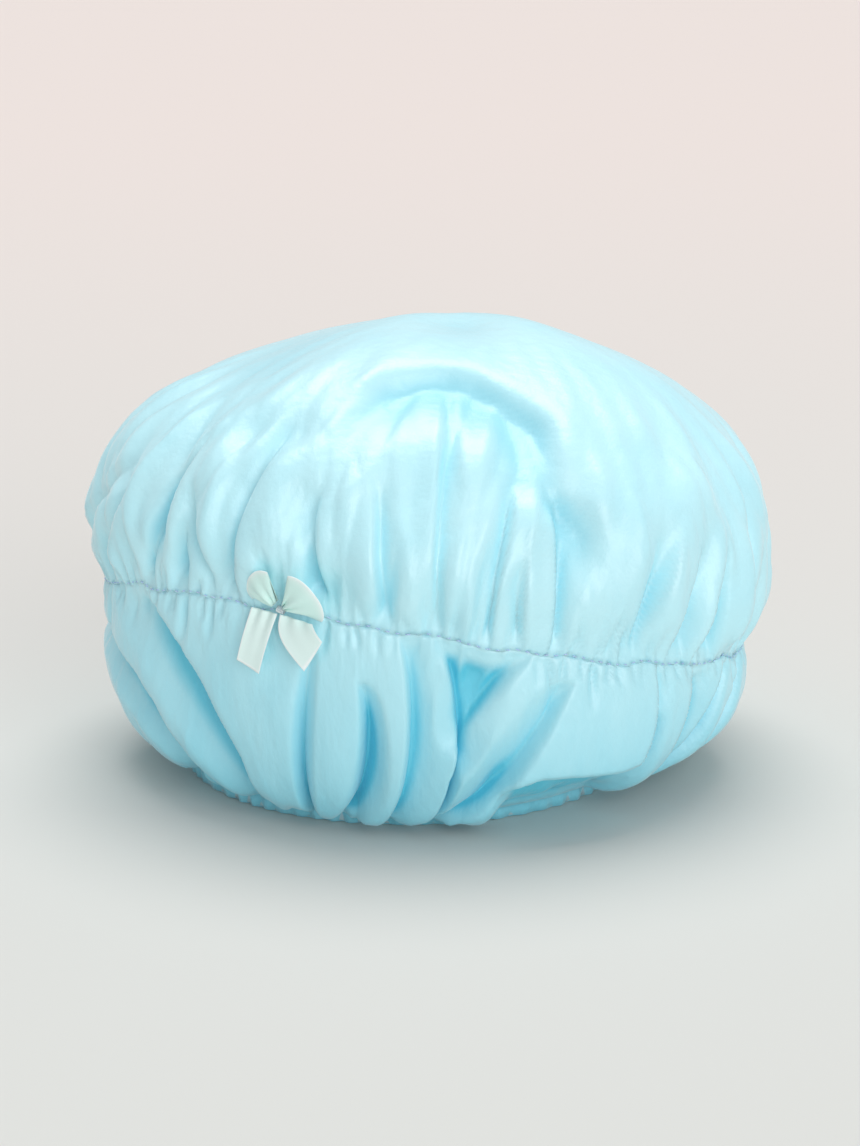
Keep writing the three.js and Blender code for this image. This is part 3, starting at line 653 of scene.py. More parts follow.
# Room for the folds between the lining and the bow: how far the cloth may move in and out of its place.
SEAM_ROOM = 0.3
CROWN_ROOM = 9.0
FRILL_ROOM = 11.0
CROWN_FREE_AT = 13.0
FRILL_FREE_AT = 10.0
ROOM_FROM = (2.5, 12.0)
OUTER_ROOM = 2.0
OUTER_ROOM_MORE = 4.0
BOW_ANGLE = -24.4
BOW_WIDTH = 12.0
BOW_PRESSES = 0.8
CROWN_BOW_FADE = (12.0, 20.0)
FRILL_BOW_FADE = (18.0, 30.0)


def fold_room(angle, away, most_in, free_at, from_seam, bow_fade):
    """Room for folds away from the held edges, less of it outwards where the bow presses near the seam."""
    beside = bump(np.degrees(turned_from(angle, 0.0)) - BOW_ANGLE, BOW_WIDTH)
    by_bow = beside * (1.0 - smoothstep(from_seam, *bow_fade))
    outward = OUTER_ROOM + OUTER_ROOM_MORE * smoothstep(away, 0.0, free_at)
    return SEAM_ROOM + most_in * smoothstep(away, *ROOM_FROM), outward * (1.0 - BOW_PRESSES * by_bow)


def crown_room(angle, level, height):
    """The room of the crown, which is deeper in the tuck."""
    inward, outward = fold_room(angle, height, CROWN_ROOM, CROWN_FREE_AT, height, CROWN_BOW_FADE)
    return inward + arch_recess(angle, level)[0], outward


def frill_room(angle, drop, fall):
    """The room of the frill, which closes at the seam and at the hem."""
    away = np.minimum(drop, fall - drop)
    return fold_room(angle, away, FRILL_ROOM, FRILL_FREE_AT, drop, FRILL_BOW_FADE)


FINER_IN_FRONT = 0.3
CASING_STEP = 3.0
HEM_PUCKERS = 67
HEM_PUCKER_TURN = 0.3


def disc_of_cloth(rings):
    """A square grid whose square rings become the round rings of a disc, with each point's angle and ring,
    and the points in rows and columns."""
    shape = bmesh.new()
    bmesh.ops.create_grid(shape, x_segments=2 * rings, y_segments=2 * rings, size=rings)
    grid = np.rint([corner.co[:2] for corner in shape.verts])
    across_x = np.abs(grid[:, 0]) >= np.abs(grid[:, 1])
    reach = np.where(across_x, grid[:, 0], grid[:, 1])
    ratio = np.where(across_x, grid[:, 1], grid[:, 0]) / np.where(reach == 0, 1.0, reach)
    turn = np.where(across_x, ratio, 2.0 - ratio) * QUARTER_TURN / 2 + np.where(reach < 0, HALF_TURN, 0.0)
    side = 2 * rings + 1
    cells = np.lexsort((grid[:, 0], grid[:, 1])).reshape(side, side)
    turn += QUARTER_TURN
    return shape, turn - FINER_IN_FRONT * np.sin(turn), np.abs(reach).astype(int), cells


def lay_out(crown_rings, frill_rings, edge_path, power=1.0, pucker=0.0):
    """A disc of cloth laid over the cap without its folds. A power of less than 1 sets its rings closer
    towards the seam, and its puckered edge follows a path of insets and heights at the hem."""
    shape, angle, ring, cells = disc_of_cloth(crown_rings + frill_rings + len(edge_path))
    mean, ring_way, rising, out_way = np.zeros((4, len(angle), 3))
    inward, outward, eased, flat_reach = np.zeros((4, len(angle)))

    on_crown = ring <= crown_rings
    height = CROWN_LENGTH * (1.0 - (ring[on_crown] / crown_rings) ** power)
    level = np.interp(height, HEIGHTS, LEVELS)
    flat_reach[on_crown] = CROWN_LENGTH - height

    on_frill = (ring > crown_rings) & (ring <= crown_rings + frill_rings)
    here = angle[on_frill]
    share = (ring[on_frill] - crown_rings) / frill_rings
    ends = [frill_place(here, np.full_like(here, end)) for end in (0.0, 1.0)]
    fall = np.linalg.norm(ends[1] - ends[0], axis=1)
    flat_reach[on_frill] = CROWN_LENGTH + share * FRILL_LENGTH
    for chosen, place_at, levels, up in (
        (on_crown, crown_place, level, 1.0),
        (on_frill, frill_place, share, -1.0),
    ):
        mean[chosen] = place_at(angle[chosen], levels)
        ring_way[chosen], rising[chosen], out_way[chosen] = axes_on(place_at, angle[chosen], levels, up)

    for step, (inset, rise) in enumerate(edge_path):
        on_ring = ring == crown_rings + frill_rings + 1 + step
        wave = gather_wave(angle[on_ring] + HEM_PUCKER_TURN, HEM_PUCKERS)
        mean[on_ring] = hem_place(angle[on_ring], inset - pucker * wave * (1.0 - step / len(edge_path)), rise)
        flat_reach[on_ring] = CROWN_LENGTH + FRILL_LENGTH + CASING_STEP * (step + 1)
    held = (ring == crown_rings) | (ring > crown_rings + frill_rings)
    flat = flat_reach[:, None] * np.stack([np.sin(angle), np.cos(angle)], axis=-1)
    return SimpleNamespace(
        shape=shape, angle=angle, ring=ring, cells=cells, mean=mean, ring_way=ring_way, rising=rising,
        out_way=out_way, inward=inward, outward=outward, eased=eased, held=held, flat=flat,
        flat_reach=flat_reach, on_crown=on_crown, height=height, level=level, on_frill=on_frill, share=share,
        drop=share * fall, fall=fall,
    )


# Rows of the cloth's springs: steps to the right and down, and how hard it resists a pull and a push.
SPRINGS = [(1, 0, 0.9, 0.6), (0, 1, 0.9, 0.6), (1, 1, 0.2, 0.1), (-1, 1, 0.2, 0.1)]
BENDS = [(2, 0, 0.0, 0.06), (0, 2, 0.0, 0.06), (4, 0, 0.0, 0.03), (0, 4, 0.0, 0.03)]
CARRY = 0.9
HOLD = 0.02
EASING_STEPS = 6
EASING = 0.027
RIM_EASING = 0.42


def spring_sets(cloth, points, slack, right, down, pull, push):
    """Pairs of points some steps apart, in two sets that share no point, with the lengths they settle to."""
    side = len(cloth.cells)
    rows, columns = np.meshgrid(np.arange(side), np.arange(side), indexing="ij")
    gap = max(abs(right), abs(down))
    inside = (rows + down < side) & (columns + right < side) & (columns + right >= 0)
    for parity in (0, 1):
        chosen = inside & ((rows if down else columns) // gap % 2 == parity)
        first = cloth.cells[rows[chosen], columns[chosen]]
        second = cloth.cells[rows[chosen] + down, columns[chosen] + right]
        span = points[second] - points[first]
        along_ring = (span * cloth.ring_way[first]).sum(axis=1)
        length = np.sqrt((span ** 2).sum(axis=1) + (slack[first] ** 2 - 1.0) * along_ring ** 2)
        yield first, second, length, pull, push


def eased_along(cloth, points):
    """The points a little nearer to the mean of their neighbours, most of all along slanting rims."""
    cells = cloth.cells
    inner = cells[1:-1, 1:-1]
    beside = points[cells[:-2, 1:-1]] + points[cells[2:, 1:-1]]
    beside = beside + points[cells[1:-1, :-2]] + points[cells[1:-1, 2:]]
    around = np.zeros_like(points)
    around[inner] = beside / 4.0 - points[inner]
    around[cloth.held] = 0.0
    return points + (EASING + RIM_EASING * cloth.eased)[:, None] * around


def settle(cloth, folded, slack, steps):
    """Lets a folded cloth with some slack along its rings push itself into creases, inside its room."""
    springs = []
    for right, down, pull, push in SPRINGS + BENDS:
        springs.extend(spring_sets(cloth, folded, slack, right, down, pull, push))
    points = folded.copy()
    before = folded.copy()
    for step in range(steps):
        firmer = min(1.0, 2.0 * (step + 1) / steps)
        before, points = points, points + CARRY * (points - before) + HOLD * (folded - points)
        for first, second, length, pull, push in springs:
            span = points[second] - points[first]
            now = np.sqrt(np.einsum("ij,ij->i", span, span)) + TINY
            span *= (0.5 * np.where(now > length, pull, push * firmer) * (now - length) / now)[:, None]
            points[first] += span
            points[second] -= span
        stands = np.einsum("ij,ij->i", points - cloth.mean, cloth.out_way)
        points += (np.clip(stands, -cloth.inward, cloth.outward) - stands)[:, None] * cloth.out_way
        points[cloth.held] = folded[cloth.held]
    for _ in range(EASING_STEPS):
        points = eased_along(cloth, points)
    return points


CROWN_RINGS = 76
FRILL_RINGS = 52
RINGS_POWER = 0.85
HEM_PUCKER = 0.9
CASING_PATH = [(0.0, 3.6), (0.5, 0.6), (2.8, 0.0), (5.1, 0.6), (5.6, 3.6), (5.6, 6.9)]
SETTLE_STEPS = 160
SLACK_LEVELS = (0.0, 0.13, 0.3, 0.5, 1.0)
CROWN_SLACK = (1.12, 1.06, 1.02, 1.0, 1.0)
SLACK_SHARES = (0.0, 0.25, 0.8, 1.0)
FRILL_SLACK = (1.08, 1.0, 1.0, 1.06)
SLACK_VARIES = 0.6

cloth = lay_out(CROWN_RINGS, FRILL_RINGS, CASING_PATH, RINGS_POWER, HEM_PUCKER)
slack = np.ones(len(cloth.angle))
out, along, up = np.zeros((3, len(cloth.angle)))

chosen, here = cloth.on_crown, cloth.angle[cloth.on_crown]
out[chosen], along[chosen], up[chosen], cloth.eased[chosen] = fold_crown(here, cloth.level, cloth.height)
cloth.inward[chosen], cloth.outward[chosen] = crown_room(here, cloth.level, cloth.height)
slack[chosen] = np.interp(cloth.level, SLACK_LEVELS, CROWN_SLACK)

chosen, here = cloth.on_frill, cloth.angle[cloth.on_frill]
out[chosen], along[chosen], cloth.eased[chosen] = fold_frill(here, cloth.share, cloth.drop, cloth.fall)
cloth.inward[chosen], cloth.outward[chosen] = frill_room(here, cloth.drop, cloth.fall)
slack[chosen] = np.interp(cloth.share, SLACK_SHARES, FRILL_SLACK)

out = np.clip(out, -cloth.inward, cloth.outward)
folded = cloth.mean + cloth.ring_way * along[:, None] + cloth.rising * up[:, None]
folded = folded + cloth.out_way * out[:, None]
uneven = SLACK_VARIES * np.sin(5 * cloth.angle + 1) * np.sin(3 * cloth.angle)
slack = 1.0 + (slack - 1.0) * (1.0 + uneven)
points = settle(cloth, folded, slack, SETTLE_STEPS)


def put_at(shape, points):
    """Puts a bmesh's corners at points given in millimetres."""
    for corner, point in zip(shape.verts, points):
        corner.co = point * MILLIMETRE


def move_to(shape, points):
    """Puts a sheet's corners at points, and turns its faces outwards by the first of its highest corners."""
    put_at(shape, points)
    bmesh.ops.recalc_face_normals(shape, faces=shape.faces)
    shape.normal_update()
    highest = max(shape.verts, key=lambda corner: corner.co.z)
    if highest.normal.z < 0:
        bmesh.ops.reverse_faces(shape, faces=shape.faces)


def keep_flat(piece, flat):
    """Keeps where each point lay on the flat cloth, in millimetres, as the piece's UV map."""
    layer = piece.data.uv_layers.new(name="flat_cloth")
    corners = np.zeros(len(piece.data.loops), dtype=np.int32)
    piece.data.loops.foreach_get("vertex_index", corners)
    layer.data.foreach_set("uv", flat[corners].astype(np.float32).ravel())


def keep_values(piece, name, values):
    """Keeps a number for each point of a piece."""
    layer = piece.data.attributes.new(name, "FLOAT", "POINT")
    layer.data.foreach_set("value", values.astype(np.float32))


def thicken(piece, thickness, offset):
    """Gives a sheet its thickness, to its inner side at an offset of -1 and to both sides at 0."""
    modifier = piece.modifiers.new("thickness", "SOLIDIFY")
    modifier.thickness = thickness
    modifier.offset = offset


def vary_gloss(shader, smoothest, roughest, blend):
    """Varies a shader's roughness, by a socket that goes from 0 to 1."""
    gloss = add(shader.id_data, "MapRange", blend, To_Min=smoothest, To_Max=roughest)
    fill(shader, Roughness=gloss.outputs["Result"])


WEAVE_ENDS = 5
WEAVE_STEP = 2


def satin_weave_group():
    """A satin weave from flat places in millimetres: how high its long threads lie, and how light each is. A
    thread passes over all but one of the weave's ends, a step further on from thread to thread."""
    group = bpy.data.node_groups.new("satin_weave", "ShaderNodeTree")
    for name, in_out, kind in (
        ("Place", "INPUT", "Vector"),
        ("Pitch", "INPUT", "Float"),
        ("Height", "OUTPUT", "Float"),
        ("Lightness", "OUTPUT", "Float"),
    ):
        group.interface.new_socket(name, in_out=in_out, socket_type="NodeSocket" + kind)
    given = group.nodes.new("NodeGroupInput")
    result = group.nodes.new("NodeGroupOutput")

    def math_node(operation, *values):
        return add(group, "Math", *values, operation=operation).outputs[0]

    parts = add(group, "SeparateXYZ", given.outputs["Place"])
    across = math_node("DIVIDE", parts.outputs["X"], given.outputs["Pitch"])
    along = math_node("DIVIDE", parts.outputs["Y"], given.outputs["Pitch"])
    thread = math_node("FLOOR", across)
    round_thread = math_node("SINE", math_node("MULTIPLY", math_node("FRACT", across), HALF_TURN))
    repeats = math_node("MULTIPLY", along, 1 / WEAVE_ENDS)
    stagger = math_node("MULTIPLY_ADD", thread, WEAVE_STEP / WEAVE_ENDS, repeats)
    long_float = math_node("SINE", math_node("MULTIPLY", math_node("FRACT", stagger), HALF_TURN))
    height = math_node("MULTIPLY", round_thread, math_node("MULTIPLY_ADD", long_float, 0.5, 0.5))
    speck = add(group, "TexWhiteNoise", noise_dimensions="1D", W=thread)
    fill(result, Height=height, Lightness=speck.outputs["Value"])
    return group


satin_weave = satin_weave_group()

# The satin goes towards a deeper blue by a random cloud of tone and, as painted shade, by its hollow
# attribute.
SATIN_BLUE = srgb(202, 247, 255)
SATIN_DEEP_TONE_AND_SHADE = srgb(96, 208, 232)
SATIN_PITCH = 0.35
CLOUD_TINT = 0.25
satin, tree, shader = finish_of("blue_satin")
flat = add(tree, "UVMap", uv_map="flat_cloth").outputs["UV"]
weave = add(tree, "Group", node_tree=satin_weave, Place=flat, Pitch=SATIN_PITCH)
cloud = add(tree, "TexNoise", noise_dimensions="2D", Vector=flat, Scale=0.035, Detail=3.0).outputs["Fac"]
hollow = add(tree, "Attribute", attribute_name="hollow").outputs["Fac"]
cloud_and_painted_shade = add(tree, "Math", cloud, CLOUD_TINT, hollow, operation="MULTIPLY_ADD")
tint_between(shader, SATIN_BLUE, SATIN_DEEP_TONE_AND_SHADE, cloud_and_painted_shade.outputs[0])
vary_gloss(shader, smoothest=0.31, roughest=0.45, blend=cloud)
crinkle = add(tree, "TexNoise", noise_dimensions="2D", Vector=flat, Scale=0.22, Detail=4.0).outputs["Fac"]
crinkles = add(tree, "Bump", Strength=0.25, Distance=0.0012, Height=crinkle).outputs["Normal"]
threads = add(tree, "Bump", Strength=0.2, Distance=0.00006, Height=weave.outputs["Height"], Normal=crinkles)
fill(shader, Normal=threads.outputs["Normal"], Specular_IOR_Level=1.0)
fill(shader, Sheen_Weight=0.35, Sheen_Roughness=0.35)

# Painted shade: the satin is painted a deeper blue in hollows, by their depth in millimetres, and more and
# more down the frill towards the hem. The places are shares of the frill's drop, below 0 on the crown.
HOLLOW_DEPTHS = (0.5, 6.5)
HOLLOW_PLACES = (-0.1, 0.1)
HOLLOW_SHADE_SHARES = (0.35, 1.0)
HEM_SHADE_PLACES = (-0.1, 0.05, 1.0)
HEM_SHADE_SHARES = (0.0, 0.1, 0.6)
stands = np.einsum("ij,ij->i", points - cloth.mean, cloth.out_way)
share = (cloth.ring - CROWN_RINGS) / FRILL_RINGS
painted_hollow_shade = smoothstep(-stands, *HOLLOW_DEPTHS) * np.interp(share, HOLLOW_PLACES, HOLLOW_SHADE_SHARES)
deep = np.maximum(painted_hollow_shade, np.interp(share, HEM_SHADE_PLACES, HEM_SHADE_SHARES))

CLOTH_THICKNESS = 0.00025
CROWN_ACROSS = 0.34
CLOTH_ACROSS = 0.45
crown_cut = math.pi * CROWN_ACROSS ** 2 / 4
frill_cut = math.pi * CLOTH_ACROSS ** 2 / 4 - crown_cut
move_to(cloth.shape, points)
for name, node, chosen, across, cut in (
    ("crown_cloth_gathered", "crown_cloth", cloth.ring <= CROWN_RINGS, CROWN_ACROSS, crown_cut),
    ("frill_cloth_gathered", "frill_cloth", cloth.ring >= CROWN_RINGS, CLOTH_ACROSS, frill_cut),
):
    part = cloth.shape.copy()
    rest = [corner for corner, kept in zip(part.verts[:], chosen) if not kept]
    bmesh.ops.delete(part, geom=rest, context="VERTS")
    piece = object_from(name, part, satin)
    keep_flat(piece, cloth.flat[chosen])
    # The hollow attribute holds painted shade: a deeper blue in the hollows and down the frill.
    keep_values(piece, "hollow", deep[chosen])
    thicken(piece, CLOTH_THICKNESS, -1.0)
    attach(piece, "cap")
    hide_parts(node)
cloth.shape.free()


# The lining: a disc of thin milky film, sewn in with the cloth along the waist seam and caught in the hem
# casing. It hangs loose inside the folds and keeps the creases in which it was gathered.
FILM_CROWN_RINGS = 40
FILM_FRILL_RINGS = 20
FILM_EDGE = [(0.85, 3.6), (0.85, 1.0)]
FILM_GAP = 0.55
FILM_ROOM = 7.0
FILM_CROWN_ROOM_FROM = (4.0, 20.0)
FILM_FRILL_ROOM_FROM = (4.0, 16.0)
FILM_SLACK = 1.12
FILM_FOLDS = 29
FILM_FOLD_DRIFT = 3
FILM_FOLD_DRIFTS = 4
FILM_FOLD_SLANT = 0.02
FILM_SETTLE_STEPS = 90

film_disc = lay_out(FILM_CROWN_RINGS, FILM_FRILL_RINGS, FILM_EDGE)
chosen, here = film_disc.on_crown, film_disc.angle[film_disc.on_crown]
film_disc.outward[chosen] = -FILM_GAP - crown_room(here, film_disc.level, film_disc.height)[0]
loose = smoothstep(film_disc.height, *FILM_CROWN_ROOM_FROM)
film_disc.inward[chosen] = -film_disc.outward[chosen] + FILM_ROOM * loose
chosen, here = film_disc.on_frill, film_disc.angle[film_disc.on_frill]
film_disc.outward[chosen] = -FILM_GAP - frill_room(here, film_disc.drop, film_disc.fall)[0]
away = np.minimum(film_disc.drop, (1.0 - film_disc.share) * film_disc.fall)
loose = smoothstep(away, *FILM_FRILL_ROOM_FROM)
film_disc.inward[chosen] = -film_disc.outward[chosen] + FILM_ROOM * loose

free = film_disc.inward + film_disc.outward
turns = FILM_FOLDS * film_disc.angle + FILM_FOLD_DRIFT * np.sin(FILM_FOLD_DRIFTS * film_disc.angle)
wave = 0.5 + 0.5 * np.sin(turns + FILM_FOLD_SLANT * film_disc.flat_reach)
# It hangs between a quarter and three quarters of its room.
hangs = film_disc.outward - free * (0.25 + 0.5 * wave)
folded = film_disc.mean + hangs[:, None] * film_disc.out_way
slack = np.full(len(film_disc.angle), FILM_SLACK)
points = settle(film_disc, folded, slack, FILM_SETTLE_STEPS)

FILM_MILKY = srgb(206, 234, 241)
FILM_CLEAR = srgb(186, 222, 233)
film, tree, shader = finish_of("milky_film")
flat = add(tree, "UVMap", uv_map="flat_cloth").outputs["UV"]
cloud = add(tree, "TexNoise", noise_dimensions="2D", Vector=flat, Scale=0.05, Detail=4.0).outputs["Fac"]
tint_between(shader, FILM_MILKY, FILM_CLEAR, cloud)
vary_gloss(shader, smoothest=0.18, roughest=0.34, blend=cloud)
crinkle = add(tree, "TexNoise", noise_dimensions="2D", Vector=flat, Scale=0.12, Detail=5.0, Distortion=0.6)
crinkles = add(tree, "Bump", Strength=0.5, Distance=0.002, Height=crinkle.outputs["Fac"])
fill(shader, Normal=crinkles.outputs["Normal"])

FILM_THICKNESS = 0.0001
move_to(film_disc.shape, points)
lining = object_from("lining", film_disc.shape, film)
keep_flat(lining, film_disc.flat)
thicken(lining, FILM_THICKNESS, -1.0)
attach(lining, "cap")
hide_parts("lining_film")


# The elastics: two flat braided bands, one sewn to the inside of the waist seam and one lying in the hem
# casing. Their ends overlap at the back. The solids have the right shape and get a ribbed, braided finish.
BRAID_WHITE = srgb(240, 243, 241)
# Painted shade: the grooves of the braid are painted a greyer white than its strands.
BRAID_GROOVE_SHADE = srgb(196, 205, 206)
braid, tree, shader = finish_of("braided_elastic")
place = add(tree, "TexCoord").outputs["Object"]
ribs = add(tree, "TexWave", bands_direction="Z", Vector=place, Scale=160.0, Distortion=0.6)
strands = add(tree, "TexWave", bands_direction="DIAGONAL", Vector=place, Scale=260.0, Distortion=2.0)
braided = add(tree, "Math", ribs.outputs["Fac"], strands.outputs["Fac"], operation="MULTIPLY").outputs[0]
tint_between(shader, BRAID_GROOVE_SHADE, BRAID_WHITE, braided)
raised = add(tree, "Bump", Strength=0.6, Distance=0.0003, Height=braided)
fill(shader, Normal=raised.outputs["Normal"], Roughness=0.8)
for node in ("waist_elastic", "hem_elastic"):
    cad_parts[node].material_slots[0].material = braid


# The threads: violet-blue spun polyester. The waist and the hem are each sewn with a row of lockstitches,
# whose needle thread shows outside and bobbin thread inside; a zigzag tacks the ends of each elastic.
THREAD_BLUE = srgb(168, 192, 244)
THREAD_PALE = srgb(210, 228, 250)
thread, tree, shader = finish_of("spun_thread")
place = add(tree, "TexCoord").outputs["Object"]
twist = add(tree, "TexWave", bands_direction="DIAGONAL", Vector=place, Scale=700.0, Distortion=1.5)
tint_between(shader, THREAD_BLUE, THREAD_PALE, twist.outputs["Fac"]).name = "thread_tint"
plied = add(tree, "Bump", Strength=0.5, Distance=0.0001, Height=twist.outputs["Fac"])
fill(shader, Normal=plied.outputs["Normal"], Roughness=0.6)
for node in ("waist_elastic_tack", "hem_elastic_tack"):
    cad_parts[node].material_slots[0].material = thread

STITCH_PITCH = 3.4
STITCH_LENGTH = 2.0
STITCH_LENGTH_SHARES = (0.85, 1.1)
STITCH_STRAY = 0.3
STITCH_HALF_THICK = 0.2
SEAM_STEPS = 2000
stitch_chance = np.random.default_rng(11)


def stitch_row(name, seam_place, inset):
    """A row of stitches round a seam, each a short thread that dives into the cloth at both ends."""
    turns = np.linspace(0.0, 2 * HALF_TURN, SEAM_STEPS + 1)
    lengths = np.linalg.norm(np.diff(seam_place(turns, inset), axis=0), axis=1)
    run = np.concatenate([[0.0], np.cumsum(lengths)])
    count = round(run[-1] / STITCH_PITCH)
    metres = Matrix.Scale(MILLIMETRE, 4)
    shape = bmesh.new()
    for middle in (np.arange(count) + 0.5) * run[-1] / count:
        reach = 0.5 * STITCH_LENGTH * stitch_chance.uniform(*STITCH_LENGTH_SHARES)
        ends = seam_place(np.interp([middle - reach, middle + reach], run, turns), inset)
        ends[:, 2] += stitch_chance.uniform(-STITCH_STRAY, STITCH_STRAY, 2)
        along = Vector(ends[1] - ends[0]).normalized()
        turn = Vector((1.0, 0.0, 0.0)).rotation_difference(along).to_matrix().to_4x4()
        size = Matrix.Diagonal((reach, STITCH_HALF_THICK, STITCH_HALF_THICK, 1.0))
        place = metres @ Matrix.Translation(Vector(ends.mean(axis=0))) @ turn @ size
        bmesh.ops.create_uvsphere(shape, u_segments=6, v_segments=5, radius=1.0, matrix=place)
    return object_from(name, shape, thread)


WAIST_STITCH_LIFT = 1.5
HEM_STITCH_LIFT = 0.4
HEM_STITCH_HEIGHT = 5.775
WAIST_BOBBIN_INSET = 4.55
HEM_BOBBIN_INSET = 6.0


def hem_seam_place(angle, inset):
    """The stitched line round the hem casing, drawn in by an inset."""
    return hem_place(angle, inset, HEM_STITCH_HEIGHT)


for name, node, seam_place, inset in (
    ("waist_stitches", "waist_needle_thread", waist_place, -WAIST_STITCH_LIFT),
    ("waist_inner_stitches", "waist_bobbin_thread", waist_place, WAIST_BOBBIN_INSET),
    ("hem_stitches", "hem_needle_thread", hem_seam_place, -HEM_STITCH_LIFT),
    ("hem_inner_stitches", "hem_bobbin_thread", hem_seam_place, HEM_BOBBIN_INSET),
):
    stitches = stitch_row(name, seam_place, inset)
    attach(stitches, "cap")
    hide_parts(node)


# The bow: a mint satin ribbon, pinched into two loops and two cut tails and sewn on across the waist seam.
# The loops stand off the puffed crown; the tails hang over the frill and are painted paler, as painted light.
BOW_MIDDLE = np.array([-47.639, -93.160, 3.386])
BOW_TILT = 12.0
BOW_TURN = np.array(
    Matrix.Rotation(math.radians(BOW_ANGLE), 3, "Z") @ Matrix.Rotation(math.radians(BOW_TILT), 3, "Y")
)


def in_bow(right, out, up):
    """Places to the right of the bow along the seam, out of the cap and up, in the cap's frame."""
    return in_cap(np.stack([right, -out, up], axis=-1) @ BOW_TURN.T + BOW_MIDDLE)


# The ribbon is mint, painted paler towards white by its painted light attribute: painted highlights on the
# loops' rims and the tails' edges, and painted light over the tails.
RIBBON_MINT = srgb(214, 248, 242)
RIBBON_PALEST = srgb(246, 255, 254)
RIBBON_PITCH = 0.22
ribbon, tree, shader = finish_of("mint_ribbon")
flat = add(tree, "UVMap", uv_map="flat_cloth").outputs["UV"]
weave = add(tree, "Group", node_tree=satin_weave, Place=flat, Pitch=RIBBON_PITCH)
painted_light = add(tree, "Attribute", attribute_name="painted_light").outputs["Fac"]
tint_between(shader, RIBBON_MINT, RIBBON_PALEST, painted_light)
vary_gloss(shader, smoothest=0.28, roughest=0.4, blend=weave.outputs["Lightness"])
threads = add(tree, "Bump", Strength=0.35, Distance=0.00006, Height=weave.outputs["Height"])
fill(shader, Normal=threads.outputs["Normal"], Sheen_Weight=0.2, Sheen_Roughness=0.35)

RIBBON_WIDTH = 10.0
RIBBON_THICKNESS = 0.00025


def ribbon_piece(name, node, length, grid_steps, place_at, edge_at):
    """A length of ribbon on the body of its own name: place_at takes the share across, from -1 to 1, and
    along, from 0 to 1."""
    shape = bmesh.new()
    bmesh.ops.create_grid(shape, x_segments=grid_steps[0], y_segments=grid_steps[1], size=1.0)
    grid = np.array([corner.co[:2] for corner in shape.verts])
    across = grid[:, 0]
    along = (grid[:, 1] + 1.0) / 2.0
    put_at(shape, place_at(across, along))
    piece = object_from(name, shape, ribbon)
    keep_flat(piece, np.stack([across * RIBBON_WIDTH / 2, along * length], axis=-1))
    keep_values(piece, "painted_light", edge_at(across, along))
    thicken(piece, RIBBON_THICKNESS, 0.0)
    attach(piece, name)
    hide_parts(node)


LOOP_ROOT = 0.9
LOOP_START = 1.45
LOOP_LEAN = math.radians(36.6)
LOOP_OPENS = 0.85
LOOP_ROUNDING = 0.1
LOOP_RISE = 1.6
LOOP_OUT = 0.9
BELLY_PRESSED = 0.92
BELLY_POWER = 0.8
BELLY_FLATNESS = 0.4
RIM_BEAD = 0.6
LOOP_PLEATS = 8.0
LOOP_PLEATS_TURN = 0.8
LOOP_PLEAT_HEIGHT = 1.2
LOOP_PLEAT_REACH = 7.0
RIM_HIGHLIGHT_WIDTH = 0.13


def bow_loop(side, splay, spread, reach, taller, puff):
    """A loop that fans out from the tie, turns over at its rim and comes back behind itself. It is pressed
    flat along its two sides, and taller at the side by the other loop."""

    def place_at(across, along):
        out_by = np.sin(HALF_TURN * along) ** LOOP_OPENS
        rim = reach * (1.0 - taller * across - LOOP_ROUNDING * across ** 4)
        far = LOOP_START + (rim - LOOP_START) * out_by
        fan = math.radians(splay) + math.radians(spread) * across
        front = np.cos(HALF_TURN * along)
        belly = puff * (1.0 - BELLY_PRESSED * across ** 2)
        belly = belly * np.sin(HALF_TURN * np.clip(far / rim, 0.0, 1.0) ** BELLY_POWER)
        lift = np.sign(front) * np.abs(front) ** BELLY_FLATNESS * belly
        lift += RIM_BEAD * (1.0 - across ** 4) * front
        pleat = LOOP_PLEAT_HEIGHT * np.cos(LOOP_PLEATS * across + LOOP_PLEATS_TURN)
        lift += pleat * np.exp(-far / LOOP_PLEAT_REACH) * (1.0 + front) / 2.0
        right = side * (LOOP_ROOT + far * np.sin(fan))
        up = far * np.cos(fan)
        return in_bow(right, LOOP_OUT + up * math.sin(LOOP_LEAN) + lift * math.cos(LOOP_LEAN),
                      LOOP_RISE + up * math.cos(LOOP_LEAN) - lift * math.sin(LOOP_LEAN))

    return place_at


def loop_rim(across, along):
    """A painted highlight along the turned-over rim, where the fold catches the light."""
    return bump(along - 0.5, RIM_HIGHLIGHT_WIDTH)


LOOP_GRID = (36, 48)
LEFT_LOOP_RIBBON = 31.0
RIGHT_LOOP_RIBBON = 37.0
left_loop = bow_loop(side=-1.0, splay=58.0, spread=42.0, reach=13.2, taller=0.1, puff=1.6)
right_loop = bow_loop(side=1.0, splay=51.0, spread=41.0, reach=16.4, taller=0.0, puff=1.8)
ribbon_piece("left_loop", "bow_loop_left", LEFT_LOOP_RIBBON, LOOP_GRID, left_loop, loop_rim)
ribbon_piece("right_loop", "bow_loop_right", RIGHT_LOOP_RIBBON, LOOP_GRID, right_loop, loop_rim)

TAIL_OUT = 0.3
TAIL_PLEATS = 7.0
TAIL_PLEATS_TURN = 0.6
TAIL_PLEAT_HEIGHT = 0.6
TAIL_PLEAT_FADE = 3.5
TAIL_BELLY = 0.9
TAIL_CUP = 0.5
# Painted light: how much paler the tails are painted all over.
TAIL_PAINTED_LIGHT = 0.45
TAIL_SIDE_EDGE = (0.88, 0.96)
TAIL_CUT_EDGE = (0.94, 0.98)


